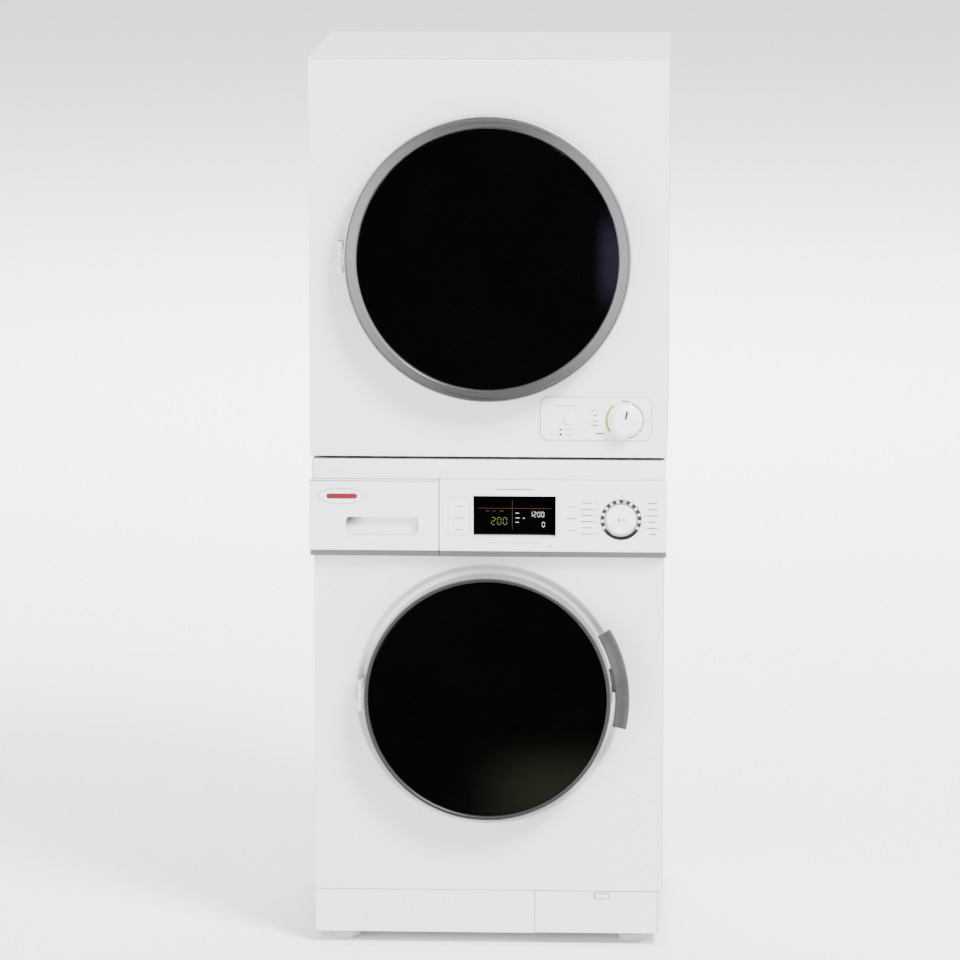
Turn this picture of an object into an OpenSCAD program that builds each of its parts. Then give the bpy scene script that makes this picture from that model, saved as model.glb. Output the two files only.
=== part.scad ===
// Front-loading washer with a vented tumble dryer stacked on its worktop.
// +X is right, +Y is back, +Z is up; the origin is on the floor under the middle.
// Inside the modules y is counted from the front face of the cabinets.

/* [Cabinets] */
// Width of the dryer and of the washer console
stack_w = 597; // [570:1:720]
// How far the console overhangs the washer cabinet on each side
console_overhang = 5.5; // [0:0.5:8]
// How far the console overhangs the worktop on each side
worktop_inset = 2.5; // [0:0.5:8]
// Depth of both cabinets, front panel to back panel
body_d = 530; // [500:1:640]
// Thickness of the cabinet sheet
sheet = 2; // [1.5:0.1:3]
// Width of the flanges folded in along the cabinet edges
flange_w = 20; // [12:1:30]
// Height of the adjustable feet
foot_h = 20; // [12:1:40]
// Height of the kick plate
kick_h = 74; // [66:1:100]
// Height of the washer front panel
panel_h = 576; // [560:1:700]
// Height of the silver strip below the console
trim_h = 13; // [8:1:20]
// Height of the console
console_h = 118; // [110:1:150]
// Height of the washer worktop
worktop_h = 33; // [20:1:45]
// Gap that the rubber pads hold between worktop and dryer
stack_gap = 5; // [3:1:12]
// Height of the dryer cabinet
dryer_h = 668; // [640:1:800]
// Thickness of the dryer top plate
dryer_top_t = 3; // [2:0.5:6]

/* [Washer door] */
// Diameter of the door over its ring
washer_door_d = 416; // [390:1:424]
// Width of the dark ring around the window
washer_ring_w = 8.1; // [6:0.1:14]
// How far the ring stands in front of the panel
washer_ring_out = 50; // [44:1:60]
// How far the window bulges in front of its edge
window_bulge = 12.5; // [4:0.5:16]
// Door centre below the top edge of the front panel
washer_door_drop = 236; // [230:1:260]
// Depth of the pressed recess around the door
dish_depth = 8; // [5:0.5:10]
// Width of the recess outside the ring
dish_margin = 16; // [14:1:18]
// Radius of the mouth in the front panel
mouth_r = 170; // [165:1:175]
// Depth of the glass bowl behind the door
bowl_depth = 100; // [80:1:104]
// Lower end of the grip, degrees above the horizontal
grip_from = -12.5; // [-16:0.5:-8]
// Upper end of the grip, degrees above the horizontal
grip_to = 31; // [26:0.5:36]
// Radial width of the grip
grip_w = 24.5; // [18:0.5:28]
// Thickness of the grip
grip_t = 14; // [10:0.5:16]
// Slot between ring and grip
grip_slot = 6; // [5:0.5:8]

/* [Dryer door] */
// Diameter of the dryer door over its ring
dryer_door_d = 477; // [440:1:482]
// Width of the silver ring around the glass
dryer_ring_w = 21.7; // [16:0.1:26]
// How far the dryer door stands in front of its panel
dryer_ring_out = 46; // [36:1:52]
// Door centre below the top of the dryer
dryer_door_drop = 332; // [320:1:360]
// Radius of the dryer mouth
dryer_mouth_r = 190; // [180:1:196]

/* [Controls] */
// Width of the detergent drawer front
drawer_w = 216.5; // [200:0.5:225]
// Length of the detergent tray
tray_d = 230; // [200:1:250]
// Height of the detergent tray
tray_h = 68; // [50:1:70]
// Diameter of the programme ring
programme_d = 70; // [60:1:84]
// Diameter of the start button
start_d = 51; // [40:1:54]
// How far the programme ring stands out
programme_out = 17; // [12:1:22]
// Programme ring centre from the right-hand end
programme_inset = 76; // [60:1:80]
// Programme ring centre below the worktop
programme_drop = 63; // [55:1:66]
// Height of the display glass
display_h = 69; // [60:1:76]
// Diameter of the timer skirt
timer_d = 57; // [48:1:68]
// Diameter of the timer cap
timer_cap_d = 45; // [36:1:47]
// Diameter of the mode button
mode_d = 19; // [14:1:24]
// Travel of both push buttons
button_travel = 3; // [2:0.5:3.5]
// Width of the dryer control panel
panel_w = 185; // [170:1:190]
// Height of the dryer control panel
control_h = 73; // [66:1:80]

/* [Works] */
// Space between tub and cabinet side
tub_gap = 26; // [16:1:40]
// Space between washer drum and tub
drum_gap = 25; // [20:1:30]
// Radius of the drum shaft
shaft_r = 12.5; // [10:0.5:15]
// Outer radius of the drum bearings
bearing_r = 26; // [22:1:30]
// Radius of the drum pulley
pulley_r = 130; // [110:1:140]
// Radius of the washer motor pulley
motor_pulley_r = 11; // [9:0.5:14]
// Outer radius of the dryer drum
dryer_drum_r = 255; // [235:1:258]
// Radius of the dryer motor pulley
dryer_pulley_r = 12; // [10:0.5:15]
// Outer radius of the exhaust spigot
spigot_r = 51; // [40:1:51]
// Radius of the water inlet threads
inlet_r = 13.2; // [10:0.1:15]
// Radius of the pump filter bore
filter_r = 21; // [18:0.5:22]

/* [Clearances] */
// Radial clearance of a running shaft or sleeve
run = 0.05; // [0.02:0.01:0.1]
// Gap at a seat between two separate pieces
seat = 0.3; // [0.1:0.05:0.5]
// Gap around the drawer front and the flap
reveal = 0.5; // [0.4:0.1:1.5]

/* [Hidden] */

// Depth: the window in front and the fittings behind set the middle of the whole stack
window_out = washer_ring_out - 4.5 + window_bulge;
fitting_out = 20;
// The pipe fittings are slimmer where they pass the back panel, so a hose meets only their free ends
neck = 0.6;
free_end = body_d + 1;
front_y = window_out - (window_out + body_d + fitting_out) / 2;

// Heights
kick_z = foot_h;
panel_z = kick_z + kick_h;
trim_z = panel_z + panel_h;
console_z = trim_z + trim_h;
worktop_z = console_z + console_h;
pad_z = worktop_z + worktop_h;
dryer_z = pad_z + stack_gap;
dryer_top_z = dryer_z + dryer_h;
lid_z = dryer_top_z - dryer_top_t;
base_t = 22;
base_top = kick_z + base_t;

// Half widths
dw = stack_w / 2;
bw = dw - console_overhang;
in_w = bw - sheet;

// Console, drawer and controls
console_out = 10;
console_back = 34;
wall = 3;
drawer_x = -dw + drawer_w;
knob_x = dw - programme_inset;
knob_z = worktop_z - programme_drop;
display_lo = [drawer_x + 57.5, worktop_z - 24 - display_h];
display_hi = [knob_x - 108.6, worktop_z - 24];
sleeve_t = 2;
start_r = start_d / 2;
sleeve_r = start_r + run + sleeve_t;
tray_lo = [-bw + 12, worktop_z - 15 - tray_h];
tray_hi = [drawer_x - 8, worktop_z - 15];
tray_wall = 2.5;
housing_wall = 2;
housing_z = tray_lo[1] - seat - housing_wall;

// Washer door and tub, all on one centre
door_z = trim_z - washer_door_drop;
door_r = washer_door_d / 2;
glass_r = door_r - washer_ring_w - seat;
dish_r = door_r + dish_margin;
hinge_gap = 6;
knuckle_r = 5;
pin_r = 3;
washer_hinge = [-door_r - hinge_gap, -20];
bowl_rim_r = mouth_r - 20;
bowl_tip_r = bowl_rim_r - 35;
grip_pin_r = door_r + grip_slot;
grip_mid = (grip_from + grip_to) / 2;
grip_y = -41;
tub_r = min(in_w - tub_gap, housing_z - 4 - door_z, door_z - base_top - 100);
tub_wall = 4;
drum_r = tub_r - drum_gap;
tub_y = 75;
tub_split = 160;
tub_back = body_d - 132;
drum_front = tub_y + 9;
drum_back = tub_back - 13;
hub_back = tub_back + 32;
pulley_y = hub_back + 4;
tub_mouth_r = mouth_r + 18;
motor_at = [160, door_z - tub_r - 35];
motor_r = 50;
pump_at = [150, base_top + filter_r + 3 + seat];
hook_x = 196;

// Dryer door, drum and blower
dryer_door_z = dryer_top_z - dryer_door_drop;
dryer_door_r = dryer_door_d / 2;
dryer_glass_r = dryer_door_r - dryer_ring_w - seat;
dryer_hinge = [-dryer_door_r - hinge_gap, -18];
dryer_hook_x = 222;
seal_y = 3.7;
drum_a = 70;
drum_b = body_d - 100;
sleeve_out = dryer_mouth_r + 6;
blower_at = [-200, dryer_z + 86];
blower_out = 58;
blower_y = body_d - 185;
timer_at = [dw - 70, dryer_z + 63];
mode_at = [timer_at[0] - 94.2, timer_at[1] + 2.5];
control_lo = [dw - 26.5 - panel_w, dryer_z + 29];
control_hi = control_lo + [panel_w, control_h];
filter_w = 70;
bracket_x = 120;

// ---- shared shapes ----

module placed() translate([0, front_y, 0]) children();

module block(lo, hi) translate(lo) cube(hi - lo);

module rod_y(at, r, y0, y1)
    translate([at[0], y0, at[1]]) rotate([-90, 0, 0]) cylinder(r = r, h = y1 - y0, $fn = 72);

module rod_x(at, r, x0, x1)
    translate([x0, at[0], at[1]]) rotate([0, 90, 0]) cylinder(r = r, h = x1 - x0, $fn = 48);

module rod_z(at, r, z0, z1)
    translate([at[0], at[1], z0]) cylinder(r = r, h = z1 - z0, $fn = 48);

// A profile of [radius, y] points turned about a line along y
module turned_y(at, points)
    translate([at[0], 0, at[1]]) rotate([-90, 0, 0]) rotate_extrude($fn = 96) polygon(points);

// A flat outline in x and z, given thickness from y0 to y1
module slab_y(y0, y1) translate([0, y1, 0]) rotate([90, 0, 0]) linear_extrude(y1 - y0) children();

module round_rect(lo, hi, r) {
    translate([lo[0] + r, lo[1]]) square([hi[0] - lo[0] - 2 * r, hi[1] - lo[1]]);
    translate([lo[0], lo[1] + r]) square([hi[0] - lo[0], hi[1] - lo[1] - 2 * r]);
    for (x = [lo[0] + r, hi[0] - r], z = [lo[1] + r, hi[1] - r])
        translate([x, z]) circle(r = r, $fn = 48);
}

module rect(lo, hi) translate(lo) square(hi - lo);

module both_sides() {
    children();
    mirror([1, 0, 0]) children();
}

// Knuckle of a vertical hinge at [x, y]
module knuckle(at, r, z0, z1) rod_z(at, r, z0, z1);

// ---- washer cabinet ----

module washer_sides() color("whitesmoke") placed() both_sides() {
    difference() {
        block([in_w, sheet, kick_z], [bw, body_d - sheet, worktop_z]);
        block([in_w - 1, 0, trim_z], [bw + 1, console_back, worktop_z + 1]);
    }
    block([in_w - flange_w, sheet, panel_z], [in_w, 2 * sheet, trim_z]);
    block([in_w - flange_w, body_d - 2 * sheet, base_top], [in_w, body_d - sheet, worktop_z]);
    block([in_w - flange_w, console_back, worktop_z - sheet], [in_w, body_d - sheet, worktop_z]);
}

module washer_back_panel() color("gainsboro") placed() difference() {
    block([-bw, body_d - sheet, base_top], [bw, body_d, worktop_z]);
    for (x = inlet_x) rod_y([x, inlet_z], inlet_r + 0.8, body_d - 3 * sheet, body_d + 1);
    rod_y(drain_at, drain_r + 0.4, body_d - 3 * sheet, body_d + 1);
    rod_y(washer_cord, 8, body_d - 3 * sheet, body_d + 1);
}

module washer_front_panel() color("white") placed() {
    mouth = [[mouth_r, dish_depth], [dish_r - 10, dish_depth], [dish_r, 0], [dish_r + 2, 0],
        [dish_r + 2, sheet], [dish_r + 0.8, sheet], [dish_r - 9.2, dish_depth + sheet],
        [mouth_r, dish_depth + sheet]];
    difference() {
        union() {
            slab_y(0, sheet) difference() {
                rect([-bw, panel_z], [bw, trim_z]);
                translate([0, door_z]) circle(r = dish_r + 1, $fn = 96);
            }
            turned_y([0, door_z], mouth);
        }
        block([hook_x - 5, -1, door_z - 14], [hook_x + 13, 20, door_z + 14]);
        for (s = [-1, 1]) translate([0, 0, door_z + s * 20])
            block([washer_hinge[0] - 6, -1, -7], [washer_hinge[0] + 6, 20, 7]);
    }
}

module washer_worktop() color("white") placed()
    translate([0, 0, worktop_z]) linear_extrude(worktop_h)
        round_rect([-dw + worktop_inset, -6], [dw - worktop_inset, body_d], 5);

module washer_base() color("dimgray") placed() difference() {
    block([-in_w, sheet, kick_z], [in_w, body_d - sheet, base_top]);
    block([flap_x0 - 1, 0, kick_z - 1], [in_w - 4, 16, base_top + 1]);
    for (x = [-foot_x, foot_x], y = [foot_y, body_d - foot_y]) rod_z([x, y], 6.1, kick_z - 1, base_top + 1);
}

module feet() color("black") placed() {
    for (x = [-foot_x, foot_x], y = [foot_y, body_d - foot_y]) {
        rod_z([x, y], 22, 0, foot_h - 8);
        rod_z([x, y], 6, foot_h - 8, base_top);
        translate([x, y, foot_h - 8]) cylinder(r = 13, h = 8, $fn = 6);
    }
    for (x = [-foot_x, foot_x], y = [foot_y + 15, body_d - foot_y - 15])
        rod_z([x, y], 25, pad_z, dryer_z);
}
foot_x = in_w - 48;
foot_y = 45;

module kick_plate() color("white") placed() block([-bw, 0, kick_z], [flap_x0 - reveal, sheet, panel_z]);
flap_x0 = 79;

// ---- console and drawer ----

module console() color("white") placed() {
    difference() {
        union() {
            difference() {
                block([drawer_x + 1, -console_out, console_z], [dw, console_back, worktop_z]);
                block([drawer_x + 1 + wall, wall - console_out, console_z + wall],
                    [dw - wall, console_back + 1, worktop_z - wall]);
            }
            rod_y([knob_x, knob_z], sleeve_r, -console_out - programme_out + 2, -console_out + wall);
        }
        rod_y([knob_x, knob_z], start_r + run, -console_out - programme_out, -console_out);
        slab_y(-console_out - 1, console_back) rect(display_lo, display_hi);
    }
}

module console_trim() color("silver") placed()
    block([drawer_x + 1, -console_out + 1, trim_z], [dw, console_back, console_z]);

module display_window() color("black") placed()
    block([display_lo[0] + seat, 0.5 - console_out, display_lo[1] + seat],
        [display_hi[0] - seat, wall - console_out, display_hi[1] - seat]);

module control_modules() color("darkgreen") placed() {
    block([drawer_x + 1 + 2 * wall, wall - console_out + seat, console_z + 2 * wall],
        [dw - 2 * wall, console_back - 8, worktop_z - 2 * wall]);
    difference() {
        union() {
            block([mode_at[0] - 15, 12, timer_at[1] - 30], [timer_at[0] + 28, 15, timer_at[1] + 30]);
            block([timer_at[0] - 28, 15, timer_at[1] - 30], [timer_at[0] + 28, 48, timer_at[1] + 30]);
            block([mode_at[0] - 12, 9, mode_at[1] - 12], [mode_at[0] + 12, 12, mode_at[1] + 12]);
            rod_y(timer_at, 9, 5 + seat, 12);
        }
        rod_y(timer_at, 4 + run, 0, 13);
    }
}

module drawer_housing() color("lightgray") placed() {
    lo = [tray_lo[0] - 4, housing_z];
    hi = [tray_hi[0] + 4, worktop_z - sheet - seat];
    difference() {
        block([lo[0], console_back - 2, lo[1]], [hi[0], 8 + tray_d + 8, hi[1]]);
        block([lo[0] + housing_wall, 0, lo[1] + housing_wall],
            [hi[0] - housing_wall, 8 + tray_d + 6, hi[1] - housing_wall]);
    }
}

module drawer_front() color("white") placed() difference() {
    block([-dw, -console_out, console_z + reveal], [drawer_x, 8, worktop_z - reveal]);
    slab_y(-console_out - 1, 3) {
        round_rect([-dw + 60.5, worktop_z - 94], [-dw + 182.5, worktop_z - 72], 10);
        rect([-dw + 60.5, worktop_z - 84], [-dw + 182.5, worktop_z - 61]);
    }
}

module drawer_trim() color("silver") placed()
    block([-dw, -console_out + 1, trim_z + reveal], [drawer_x, 8, console_z + reveal]);

module drawer_tray() color("aliceblue") placed() {
    split = (tray_hi[0] - tray_lo[0]) / 3;
    difference() {
        block([tray_lo[0], 8, tray_lo[1]], [tray_hi[0], 8 + tray_d, tray_hi[1]]);
        for (i = [0:2])
            block([tray_lo[0] + i * split + tray_wall, 8 + tray_wall, tray_lo[1] + tray_wall],
                [tray_lo[0] + (i + 1) * split - (i == 2 ? tray_wall : 0), 8 + tray_d - tray_wall, tray_hi[1] + 1]);
    }
}

module programme_knob() color("gainsboro") placed()
    turned_y([knob_x, knob_z], [[sleeve_r + run, -console_out - programme_out + 1],
        [programme_d / 2 - 3, -console_out - programme_out + 1], [programme_d / 2, -console_out - 8],
        [programme_d / 2, -console_out - seat], [sleeve_r + run, -console_out - seat]]);

module start_button() color("white") placed()
    turned_y([knob_x, knob_z], [[0, -console_out - programme_out - 0.5],
        [start_r - 2, -console_out - programme_out - 0.5], [start_r, -console_out - programme_out + 1.5],
        [start_r, -console_out - button_travel - seat], [0, -console_out - button_travel - seat]]);

// ---- washer works ----

module tub_front() color("darkgray") placed() {
    turned_y([0, door_z], [[tub_mouth_r, tub_y], [tub_r, tub_y], [tub_r, tub_split],
        [tub_r - tub_wall, tub_split], [tub_r - tub_wall, tub_y + tub_wall], [tub_mouth_r, tub_y + tub_wall]]);
    difference() {
        both_sides() block([damper_x - 12, 110, damper_top], [damper_x + 12, 134, damper_top + 40]);
        rod_y([0, door_z], tub_r - 1, 100, 140);
    }
}
damper_x = tub_r * 0.81;
damper_top = door_z - sqrt(tub_r * tub_r - damper_x * damper_x) - 30;

module tub_rear() color("darkgray") placed() {
    turned_y([0, door_z], [[tub_r - tub_wall, tub_split], [tub_r, tub_split], [tub_r, tub_back + 6],
        [36, tub_back + 6], [36, hub_back], [bearing_r, hub_back], [bearing_r, tub_back],
        [tub_r - tub_wall, tub_back]]);
    difference() {
        both_sides() block([tub_r * 0.7, 282, spring_z], [spring_x + 8, 298, spring_z + 12]);
        rod_y([0, door_z], tub_r - 1, 270, 310);
    }
}
spring_x = in_w - 14;
spring_z = door_z + tub_r * 0.7 - 12;

module door_gaskets() color("dimgray") placed() {
    turned_y([0, door_z], [[mouth_r - 10, 6], [mouth_r - seat, 6], [mouth_r - seat, 10 + seat],
        [mouth_r + 14, 10 + seat], [mouth_r + 14, 15], [mouth_r + 6, 15], [mouth_r + 6, 30],
        [mouth_r + 19, 36], [mouth_r + 19, 52], [mouth_r + 14, 56], [mouth_r + 14, 66],
        [mouth_r + 26, 70], [mouth_r + 26, tub_y], [mouth_r + 10, tub_y], [mouth_r + 10, 52],
        [mouth_r + 15, 48], [mouth_r + 15, 39], [mouth_r + 2, 33], [mouth_r + 2, 15],
        [mouth_r - 10, 11]]);
    turned_y([0, dryer_door_z], [[dryer_mouth_r + 6, -seal_y], [dryer_mouth_r + 16, -seal_y],
        [dryer_mouth_r + 16, 0], [dryer_mouth_r + 6, 0]]);
}

// Two cast weights, above and below the mouth
module tub_ballast() color("gray") placed()
    for (s = [20, 200]) translate([0, 0, door_z]) rotate([-90, 0, 0]) rotate([0, 0, s])
        rotate_extrude(angle = 140, $fn = 96)
            translate([mouth_r + 32, 45]) square([tub_r - mouth_r - 34, tub_y - 45]);

module tub_suspension() color("slategray") placed() both_sides() {
    turns = 24;
    coil = (worktop_z - 30 - (spring_z + 40)) / turns;
    translate([spring_x, 290, 0]) rotate_extrude($fn = 32) polygon(concat(
        [[0, spring_z + 12 + seat], [2, spring_z + 12 + seat], [2, spring_z + 40]],
        [for (i = [0:turns - 1], k = [0:3]) [8 + 2 * sin(k * 60), spring_z + 40 + (i + k / 4) * coil]],
        [[2, worktop_z - 30], [2, worktop_z - sheet - seat], [0, worktop_z - sheet - seat]]));
    rod_z([damper_x, 122], 13, base_top, base_top + 110);
    rod_z([damper_x, 122], 5, base_top + 110, damper_top - seat);
}

module drum_bearings() color("silver") placed()
    for (y = [tub_back + 2, tub_back + 18]) turned_y([0, door_z], [[shaft_r + run, y],
        [bearing_r, y], [bearing_r, y + 12], [shaft_r + run, y + 12]]);

module washer_motor() color("gray") placed() {
    lean = atan2(door_z - motor_at[1], -motor_at[0]);
    reach = norm([motor_at[0], door_z - motor_at[1]]) - tub_r;
    difference() {
        union() {
            rod_y(motor_at, motor_r, 250, pulley_y - 10);
            for (y = [262, 350]) translate([motor_at[0], y, motor_at[1]]) rotate([0, -lean, 0])
                block([0, 0, -16], [reach - seat, 14, 16]);
        }
        rod_y(motor_at, 7 + run, 249, pulley_y);
    }
}

// Outline of a belt round a large pulley at a and a small one at b
function loop_points(a, ra, b, rb) = let (f = atan2(b[1] - a[1], b[0] - a[0]), t = acos((ra - rb) / norm(b - a)))
    concat([for (i = [0:60]) let (w = f + t + (360 - 2 * t) * i / 60) a + ra * [cos(w), sin(w)]],
        [for (i = [0:16]) let (w = f - t + 2 * t * i / 16) b + rb * [cos(w), sin(w)]]);

module belt(a, ra, b, rb, y0, y1) slab_y(y0, y1) difference() {
    polygon(loop_points(a, ra + seat + 3, b, rb + seat + 3));
    polygon(loop_points(a, ra + seat, b, rb + seat));
}

module drive_belts() color("black") placed() {
    belt([0, door_z], pulley_r, motor_at, motor_pulley_r, pulley_y + 1, pulley_y + 11);
    belt([0, dryer_door_z], dryer_drum_r, blower_at, dryer_pulley_r, 154, 166);
}

module heaters() color("dimgray") placed() {
    rod_at = door_z - sqrt(pow(drum_r + 11, 2) - 1600);
    for (x = [-40, 40]) rod_y([x, rod_at], 3.5, tub_y + tub_wall, 327);
    block([-43.5, 324, rod_at - 3.5], [43.5, 331, rod_at + 3.5]);
    turned_y([0, dryer_door_z], [[90, drum_b + 13], [150, drum_b + 13], [150, body_d - 30], [90, body_d - 30]]);
}

module drain_pump() color("lightgray") placed() {
    difference() {
        union() {
            rod_y(pump_at, filter_r + 3, 12, 110);
            rod_y([pump_at[0], pump_at[1] + 12], 34, 110, 150);
        }
        rod_y(pump_at, filter_r, 11, 90);
    }
    rod_z([pump_at[0], 96], 12, pump_at[1] + filter_r + 1,
        door_z - sqrt(tub_r * tub_r - pow(pump_at[0] - 12, 2)) - seat);
    difference() {
        union() {
            rod_y(drain_at, drain_r - neck, body_d - 12, free_end);
            rod_y(drain_at, drain_r, free_end, body_d + fitting_out);
        }
        rod_y(drain_at, drain_r - 2.6, body_d - 13, body_d + fitting_out + 1);
    }
    rod_y(drain_at, 20, body_d - 12, body_d - sheet);
}
drain_at = [200, worktop_z - 60];
drain_r = 10.6;

module inlet_valve() color("royalblue") placed() {
    block([inlet_x[0] - 22, body_d - 44, inlet_z - 20], [inlet_x[1] + 22, body_d - sheet, inlet_z + 20]);
    for (x = inlet_x) difference() {
        union() {
            rod_y([x, inlet_z], inlet_r - neck, body_d - sheet, free_end);
            rod_y([x, inlet_z], inlet_r, free_end, body_d + fitting_out - 4);
        }
        rod_y([x, inlet_z], inlet_r - 3, body_d - sheet + 1, body_d + fitting_out);
    }
}
inlet_x = [-230, -180];
inlet_z = worktop_z - 60;

module motor_pulley() color("silver") placed() {
    rod_y(motor_at, 7, 252, pulley_y + 14);
    rod_y(motor_at, motor_pulley_r, pulley_y, pulley_y + 12);
}

module washer_drum() color("silver") placed() {
    turned_y([0, door_z], [[tub_mouth_r - 4, drum_front], [drum_r - 8, drum_front],
        [drum_r, drum_front + 8], [drum_r, drum_back], [0, drum_back], [0, drum_back - 2],
        [drum_r - 2, drum_back - 2], [drum_r - 2, drum_front + 9], [drum_r - 9, drum_front + 2],
        [tub_mouth_r - 2, drum_front + 2], [tub_mouth_r - 2, drum_front + 12],
        [tub_mouth_r - 4, drum_front + 12]]);
    for (a = [90, 210, 330]) translate([0, 0, door_z]) rotate([0, a, 0])
        block([drum_r - 42, drum_front + 30, -22], [drum_r - 1.5, drum_back - 12, 22]);
}

module drum_spider() color("darkgray") placed() {
    rod_y([0, door_z], 44, drum_back, drum_back + 7);
    for (a = [30, 150, 270]) translate([0, 0, door_z]) rotate([0, a, 0])
        block([20, drum_back, -16], [drum_r - 14, drum_back + 9, 16]);
    rod_y([0, door_z], shaft_r, drum_back, pulley_y + 12);
    turned_y([0, door_z], [[shaft_r - 1, pulley_y + 4], [pulley_r - 9, pulley_y + 4],
        [pulley_r - 9, pulley_y], [pulley_r, pulley_y], [pulley_r, pulley_y + 12],
        [pulley_r - 9, pulley_y + 12], [pulley_r - 9, pulley_y + 7], [shaft_r - 1, pulley_y + 7]]);
}

// ---- washer door ----

module washer_door_ring() color("dimgray") placed() {
    lug_y = grip_y;
    difference() {
        union() {
            turned_y([0, door_z], [[glass_r + seat, -washer_ring_out + 2],
                [glass_r + seat + 1.5, -washer_ring_out], [door_r - 3, -washer_ring_out],
                [door_r, -washer_ring_out + 4], [door_r, 4], [bowl_rim_r + 2, 4], [bowl_rim_r + 2, 1],
                [glass_r - 6, 1], [glass_r - 6, -washer_ring_out + 12],
                [glass_r + seat, -washer_ring_out + 12]]);
            block([washer_hinge[0], washer_hinge[1] - 3, door_z - 13], [-door_r + 4, washer_hinge[1] + 3, door_z + 13]);
            knuckle(washer_hinge, knuckle_r, door_z - 13, door_z + 13);
            translate([0, 0, door_z]) rotate([0, -grip_mid, 0]) for (s = [-1, 1]) translate([0, 0, s * 17.5]) {
                block([door_r - 3, lug_y - 3.5, -3], [grip_pin_r, lug_y + 3.5, 3]);
                rod_z([grip_pin_r, lug_y], 4.6, -3, 3);
            }
        }
        rod_z(washer_hinge, pin_r + run, door_z - 14, door_z + 14);
    }
    translate([0, 0, door_z]) rotate([0, -grip_mid, 0]) rod_z([grip_pin_r, lug_y], 2, -17, 17);
}

module washer_door_window() color("black") placed() {
    rim = -washer_ring_out + 4.5;
    turned_y([0, door_z], concat(
        [for (i = [0:16]) [glass_r * i / 16, rim - window_bulge * (1 - pow(i / 16, 2))]],
        [for (i = [16:-1:0]) [glass_r * i / 16, rim + 7.2 - window_bulge * (1 - pow(i / 16, 2))]]));
}

module washer_door_bowl() color("lightsteelblue") placed()
    turned_y([0, door_z], [[glass_r - 7, -3], [glass_r - 7, 1 - seat], [bowl_rim_r, 1 - seat],
        [bowl_rim_r - 0.5, 14], [bowl_tip_r + 1, bowl_depth - 8], [bowl_tip_r - 11, bowl_depth],
        [0, bowl_depth], [0, bowl_depth - 4], [bowl_tip_r - 13, bowl_depth - 4],
        [bowl_tip_r - 3, bowl_depth - 10.5], [bowl_rim_r - 4.5, 12], [bowl_rim_r - 4, -3]]);

module washer_door_hook() color("silver") placed() {
    block([hook_x, 4, door_z - 8], [hook_x + 7, 24, door_z + 8]);
    block([hook_x - 4, 19, door_z - 8], [hook_x, 24, door_z + 8]);
}

module washer_door_handle() color("gray") placed() translate([0, 0, door_z]) {
    pin = [grip_pin_r, grip_y];
    outer = grip_pin_r + grip_w;
    front = grip_y - grip_t / 2;
    difference() {
        union() {
            rotate([-90, 0, 0]) rotate([0, 0, -grip_to]) rotate_extrude(angle = grip_to - grip_from, $fn = 96)
                polygon([[grip_pin_r, front + 3], [grip_pin_r + 2, front], [outer - 4, front],
                    [outer, front + 5], [outer, front + grip_t], [grip_pin_r, front + grip_t]]);
            rotate([0, -grip_mid, 0]) rod_z(pin, 4.6, -14, 14);
        }
        rotate([0, -grip_mid, 0]) {
            rod_z(pin, 2 + run, -22, 22);
            for (s = [-1, 1]) translate([0, 0, s * 17.6]) rod_z(pin, 5.4, -3.6, 3.6);
        }
    }
}

module door_hinges() color("silver") placed() {
    for (s = [-1, 1]) translate([0, 0, door_z + s * 20]) {
        knuckle(washer_hinge, knuckle_r, -6, 6);
        block([washer_hinge[0] - 5, washer_hinge[1], -6], [washer_hinge[0] + 5, 11, 6]);
    }
    rod_z(washer_hinge, pin_r, door_z - 20, door_z + 20);
    block([washer_hinge[0] - 14, dish_depth + sheet + seat, door_z - 60],
        [washer_hinge[0] + 22, dish_depth + sheet + 4, door_z + 60]);
    for (s = [-1, 1]) translate([0, 0, dryer_door_z + s * 20]) {
        knuckle(dryer_hinge, knuckle_r, -6, 6);
        block([dryer_hinge[0] - 5, dryer_hinge[1], -6], [dryer_hinge[0] + 5, 3, 6]);
    }
    rod_z(dryer_hinge, pin_r, dryer_door_z - 20, dryer_door_z + 20);
    block([dryer_hinge[0] - 14, sheet + seat, dryer_door_z - 60], [dryer_hinge[0] + 22, 6, dryer_door_z + 60]);
}

module door_locks() color("white") placed() {
    difference() {
        block([hook_x - 6, 10 + seat, door_z - 30], [hook_x + 18, 33, door_z + 30]);
        block([hook_x - 5, 9, door_z - 14], [hook_x + 13, 28, door_z + 14]);
    }
    difference() {
        block([dryer_hook_x - 12, sheet, dryer_door_z - 25], [dryer_hook_x + 18, 30, dryer_door_z + 25]);
        block([dryer_hook_x - 6, sheet - 1, dryer_door_z - 12], [dryer_hook_x + 13, 22, dryer_door_z + 12]);
    }
}

module filter_flap() color("white") placed() {
    difference() {
        union() {
            block([flap_x0 + reveal, 0, kick_z + 1], [in_w - reveal - 4, sheet, panel_z - reveal]);
            block([flap_x0 + 102, -2, panel_z - 12], [flap_x0 + 125, 0, panel_z - 4]);
            for (x = ear_x) {
                block([x, sheet, kick_z + 2], [x + 6, 8, kick_z + 10]);
                rod_x([8, kick_z + 6], 4, x, x + 6);
            }
        }
        rod_x([8, kick_z + 6], 2 + run, flap_x0, in_w);
    }
}
ear_x = [flap_x0 + 4, in_w - 16];

module filter_cap() color("dimgray") placed() {
    rod_y(pump_at, filter_r + 3, 7, 12 - seat);
    rod_y(pump_at, filter_r - run, 11, 40);
    block([pump_at[0] - 3, 4, pump_at[1] - 16], [pump_at[0] + 3, 8, pump_at[1] + 16]);
}

module stack_brackets() color("silver") placed() both_sides()
    block([bracket_x, body_d, pad_z - 60], [bracket_x + 36, body_d + 3, dryer_z + 30]);

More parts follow.
